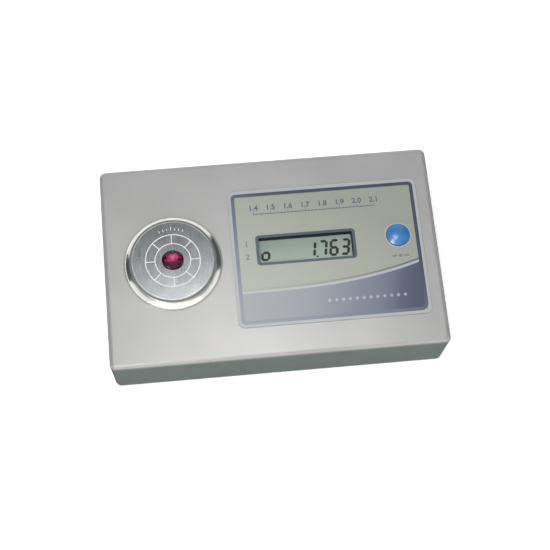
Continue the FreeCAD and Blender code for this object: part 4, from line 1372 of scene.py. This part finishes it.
# %% [markdown]
# ## Battery's jacket
# The jacket is a printed tin sheet, dark with a red line and a silver end, and has a seam along the bottom where
# its edges meet. The rolled rims are bare steel and the end plates black. Masks on the place paint all of these.

# %% Battery's jacket
silver_end, red_line, rim_width, plate_inset, seam_y = 13.0, 1.2, 1.1, 0.95, cell_low[1] + 6.9
jacket = Finish("battery_jacket_two_tone")
across, along, up = jacket.axes()
crease = jacket.noise(2.2, 4.0, stretch=(0.4, 1.0, 1.0))
shell = jacket.two_tone(crease, (48, 56, 68), (60, 69, 82))
silver_from = cell_high[0] - silver_end
shell = jacket.mix(jacket.step(across, silver_from - 0.05, silver_from), shell, (188, 189, 190))
shell = jacket.mix(jacket.inside(across, silver_from - red_line, silver_from), shell, (172, 54, 46))
seam = jacket.both(jacket.inside(along, seam_y, seam_y + 0.1), jacket.step(up, cell_low[2] + 0.1, cell_low[2]))
shell = jacket.mix(jacket.part(seam, 0.7), shell, (30, 34, 40))
rim_from = (cell_high[0] - cell_low[0]) / 2 - rim_width
rim = jacket.step(jacket.off(across, cell_middle[0]), rim_from, rim_from + 0.04)
end_plate = jacket.both(jacket.inside(along, cell_low[1] + plate_inset, cell_high[1] - plate_inset),
                        jacket.inside(up, cell_low[2] + plate_inset, cell_high[2] - plate_inset))
steel_rim = jacket.both(rim, jacket.without(end_plate))
shell = jacket.mix(steel_rim, shell, (190, 189, 184))
jacket.colour(jacket.mix(end_plate, shell, jacket.two_tone(jacket.noise(0.3, 2.0), (28, 28, 30), (40, 40, 42))))
jacket.metal(steel_rim)
jacket.rough_with(crease, 0.26, 0.40)
jacket.bump(crease, 0.03)
placed(block_battery, jacket)
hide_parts("battery")

# %% [markdown]
# ## Foam pad's shape
# The pad presses the battery down. It is soft, so its sides bulge where it is squeezed, and its edges are round.
# It starts as a box a little smaller than its room. Its upright edges are cut into rings, each ring is widened by
# the bulge at its height, and the upper and lower edges are bevelled. A cloth simulation would give the same
# small swell.

# %% Pad's shape
pad_side, pad_seat = 0.7, 0.02  # room left for the bulge at the sides, and above and below, mm
pad_rings, swell_most = 7, 0.8
room_low, room_high, pad_middle = box("battery_pad")
pad_low = [room_low[0] + pad_side, room_low[1] + pad_side, room_low[2] + pad_seat]
pad_high = [room_high[0] - pad_side, room_high[1] - pad_side, room_high[2] - pad_seat]
pad_half = [(b - a) / 2 for a, b in zip(pad_low, pad_high)]
foam_pad = add_box("foam_pad", pad_low, pad_high)
round_corners(foam_pad, 1.6, 5)
edit(foam_pad)
pick(foam_pad, "EDGE", upright)
bpy.ops.mesh.subdivide(number_cuts=pad_rings - 2)
for ring in range(pad_rings):
    share = ring / (pad_rings - 1)
    height = pad_low[2] + (pad_high[2] - pad_low[2]) * share
    swell = swell_most * math.sin(math.pi * share)
    pick(foam_pad, "VERT", lambda middle, _: abs(middle.z - height) < 0.01)
    bpy.ops.transform.resize(value=(1 + swell / pad_half[0], 1 + swell / pad_half[1], 1),
                             center_override=[value * mm for value in pad_middle])
pick(foam_pad, "EDGE", lambda middle, spread: level(middle, spread)
     and min(abs(middle.z - pad_low[2]), abs(middle.z - pad_high[2])) < 0.01)
bpy.ops.mesh.bevel(offset=0.45 * mm, segments=3)
smooth(foam_pad, 50)
print("pad, mm:", [round(value / mm, 1) for value in foam_pad.dimensions])

# %% [markdown]
# ## Foam
# Open-cell foam is full of pores about half a millimetre wide. A Voronoi pattern has just such cells, and the
# distance to a cell's middle serves as depth. The colour darkens with that depth, as painted shade in the
# pores. Slow noise on top makes the foam uneven.

# %% Pad's foam
foam = Finish("foam_open_cell")
pores = foam.add("ShaderNodeTexVoronoi")
pores.inputs["Scale"].default_value = 2200.0
foam.link(foam.add("ShaderNodeTexCoord").outputs["Object"], pores.inputs["Vector"])
depth = foam.total((pores.outputs["Distance"], 0.7), (foam.noise(3.0, 4.0), 0.3))
# Painted shade: the colour darkens with depth into the pores.
foam.colour(foam.ramp(depth, (0.2, (30, 30, 33)), (0.6, (58, 58, 62))))
foam.roughness(foam.step(depth, 0.2, 0.6, 0.86, 0.96))
foam.bump(depth, 0.12)
placed(foam_pad, foam)
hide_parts("battery_pad")

# %% [markdown]
# ## Finish
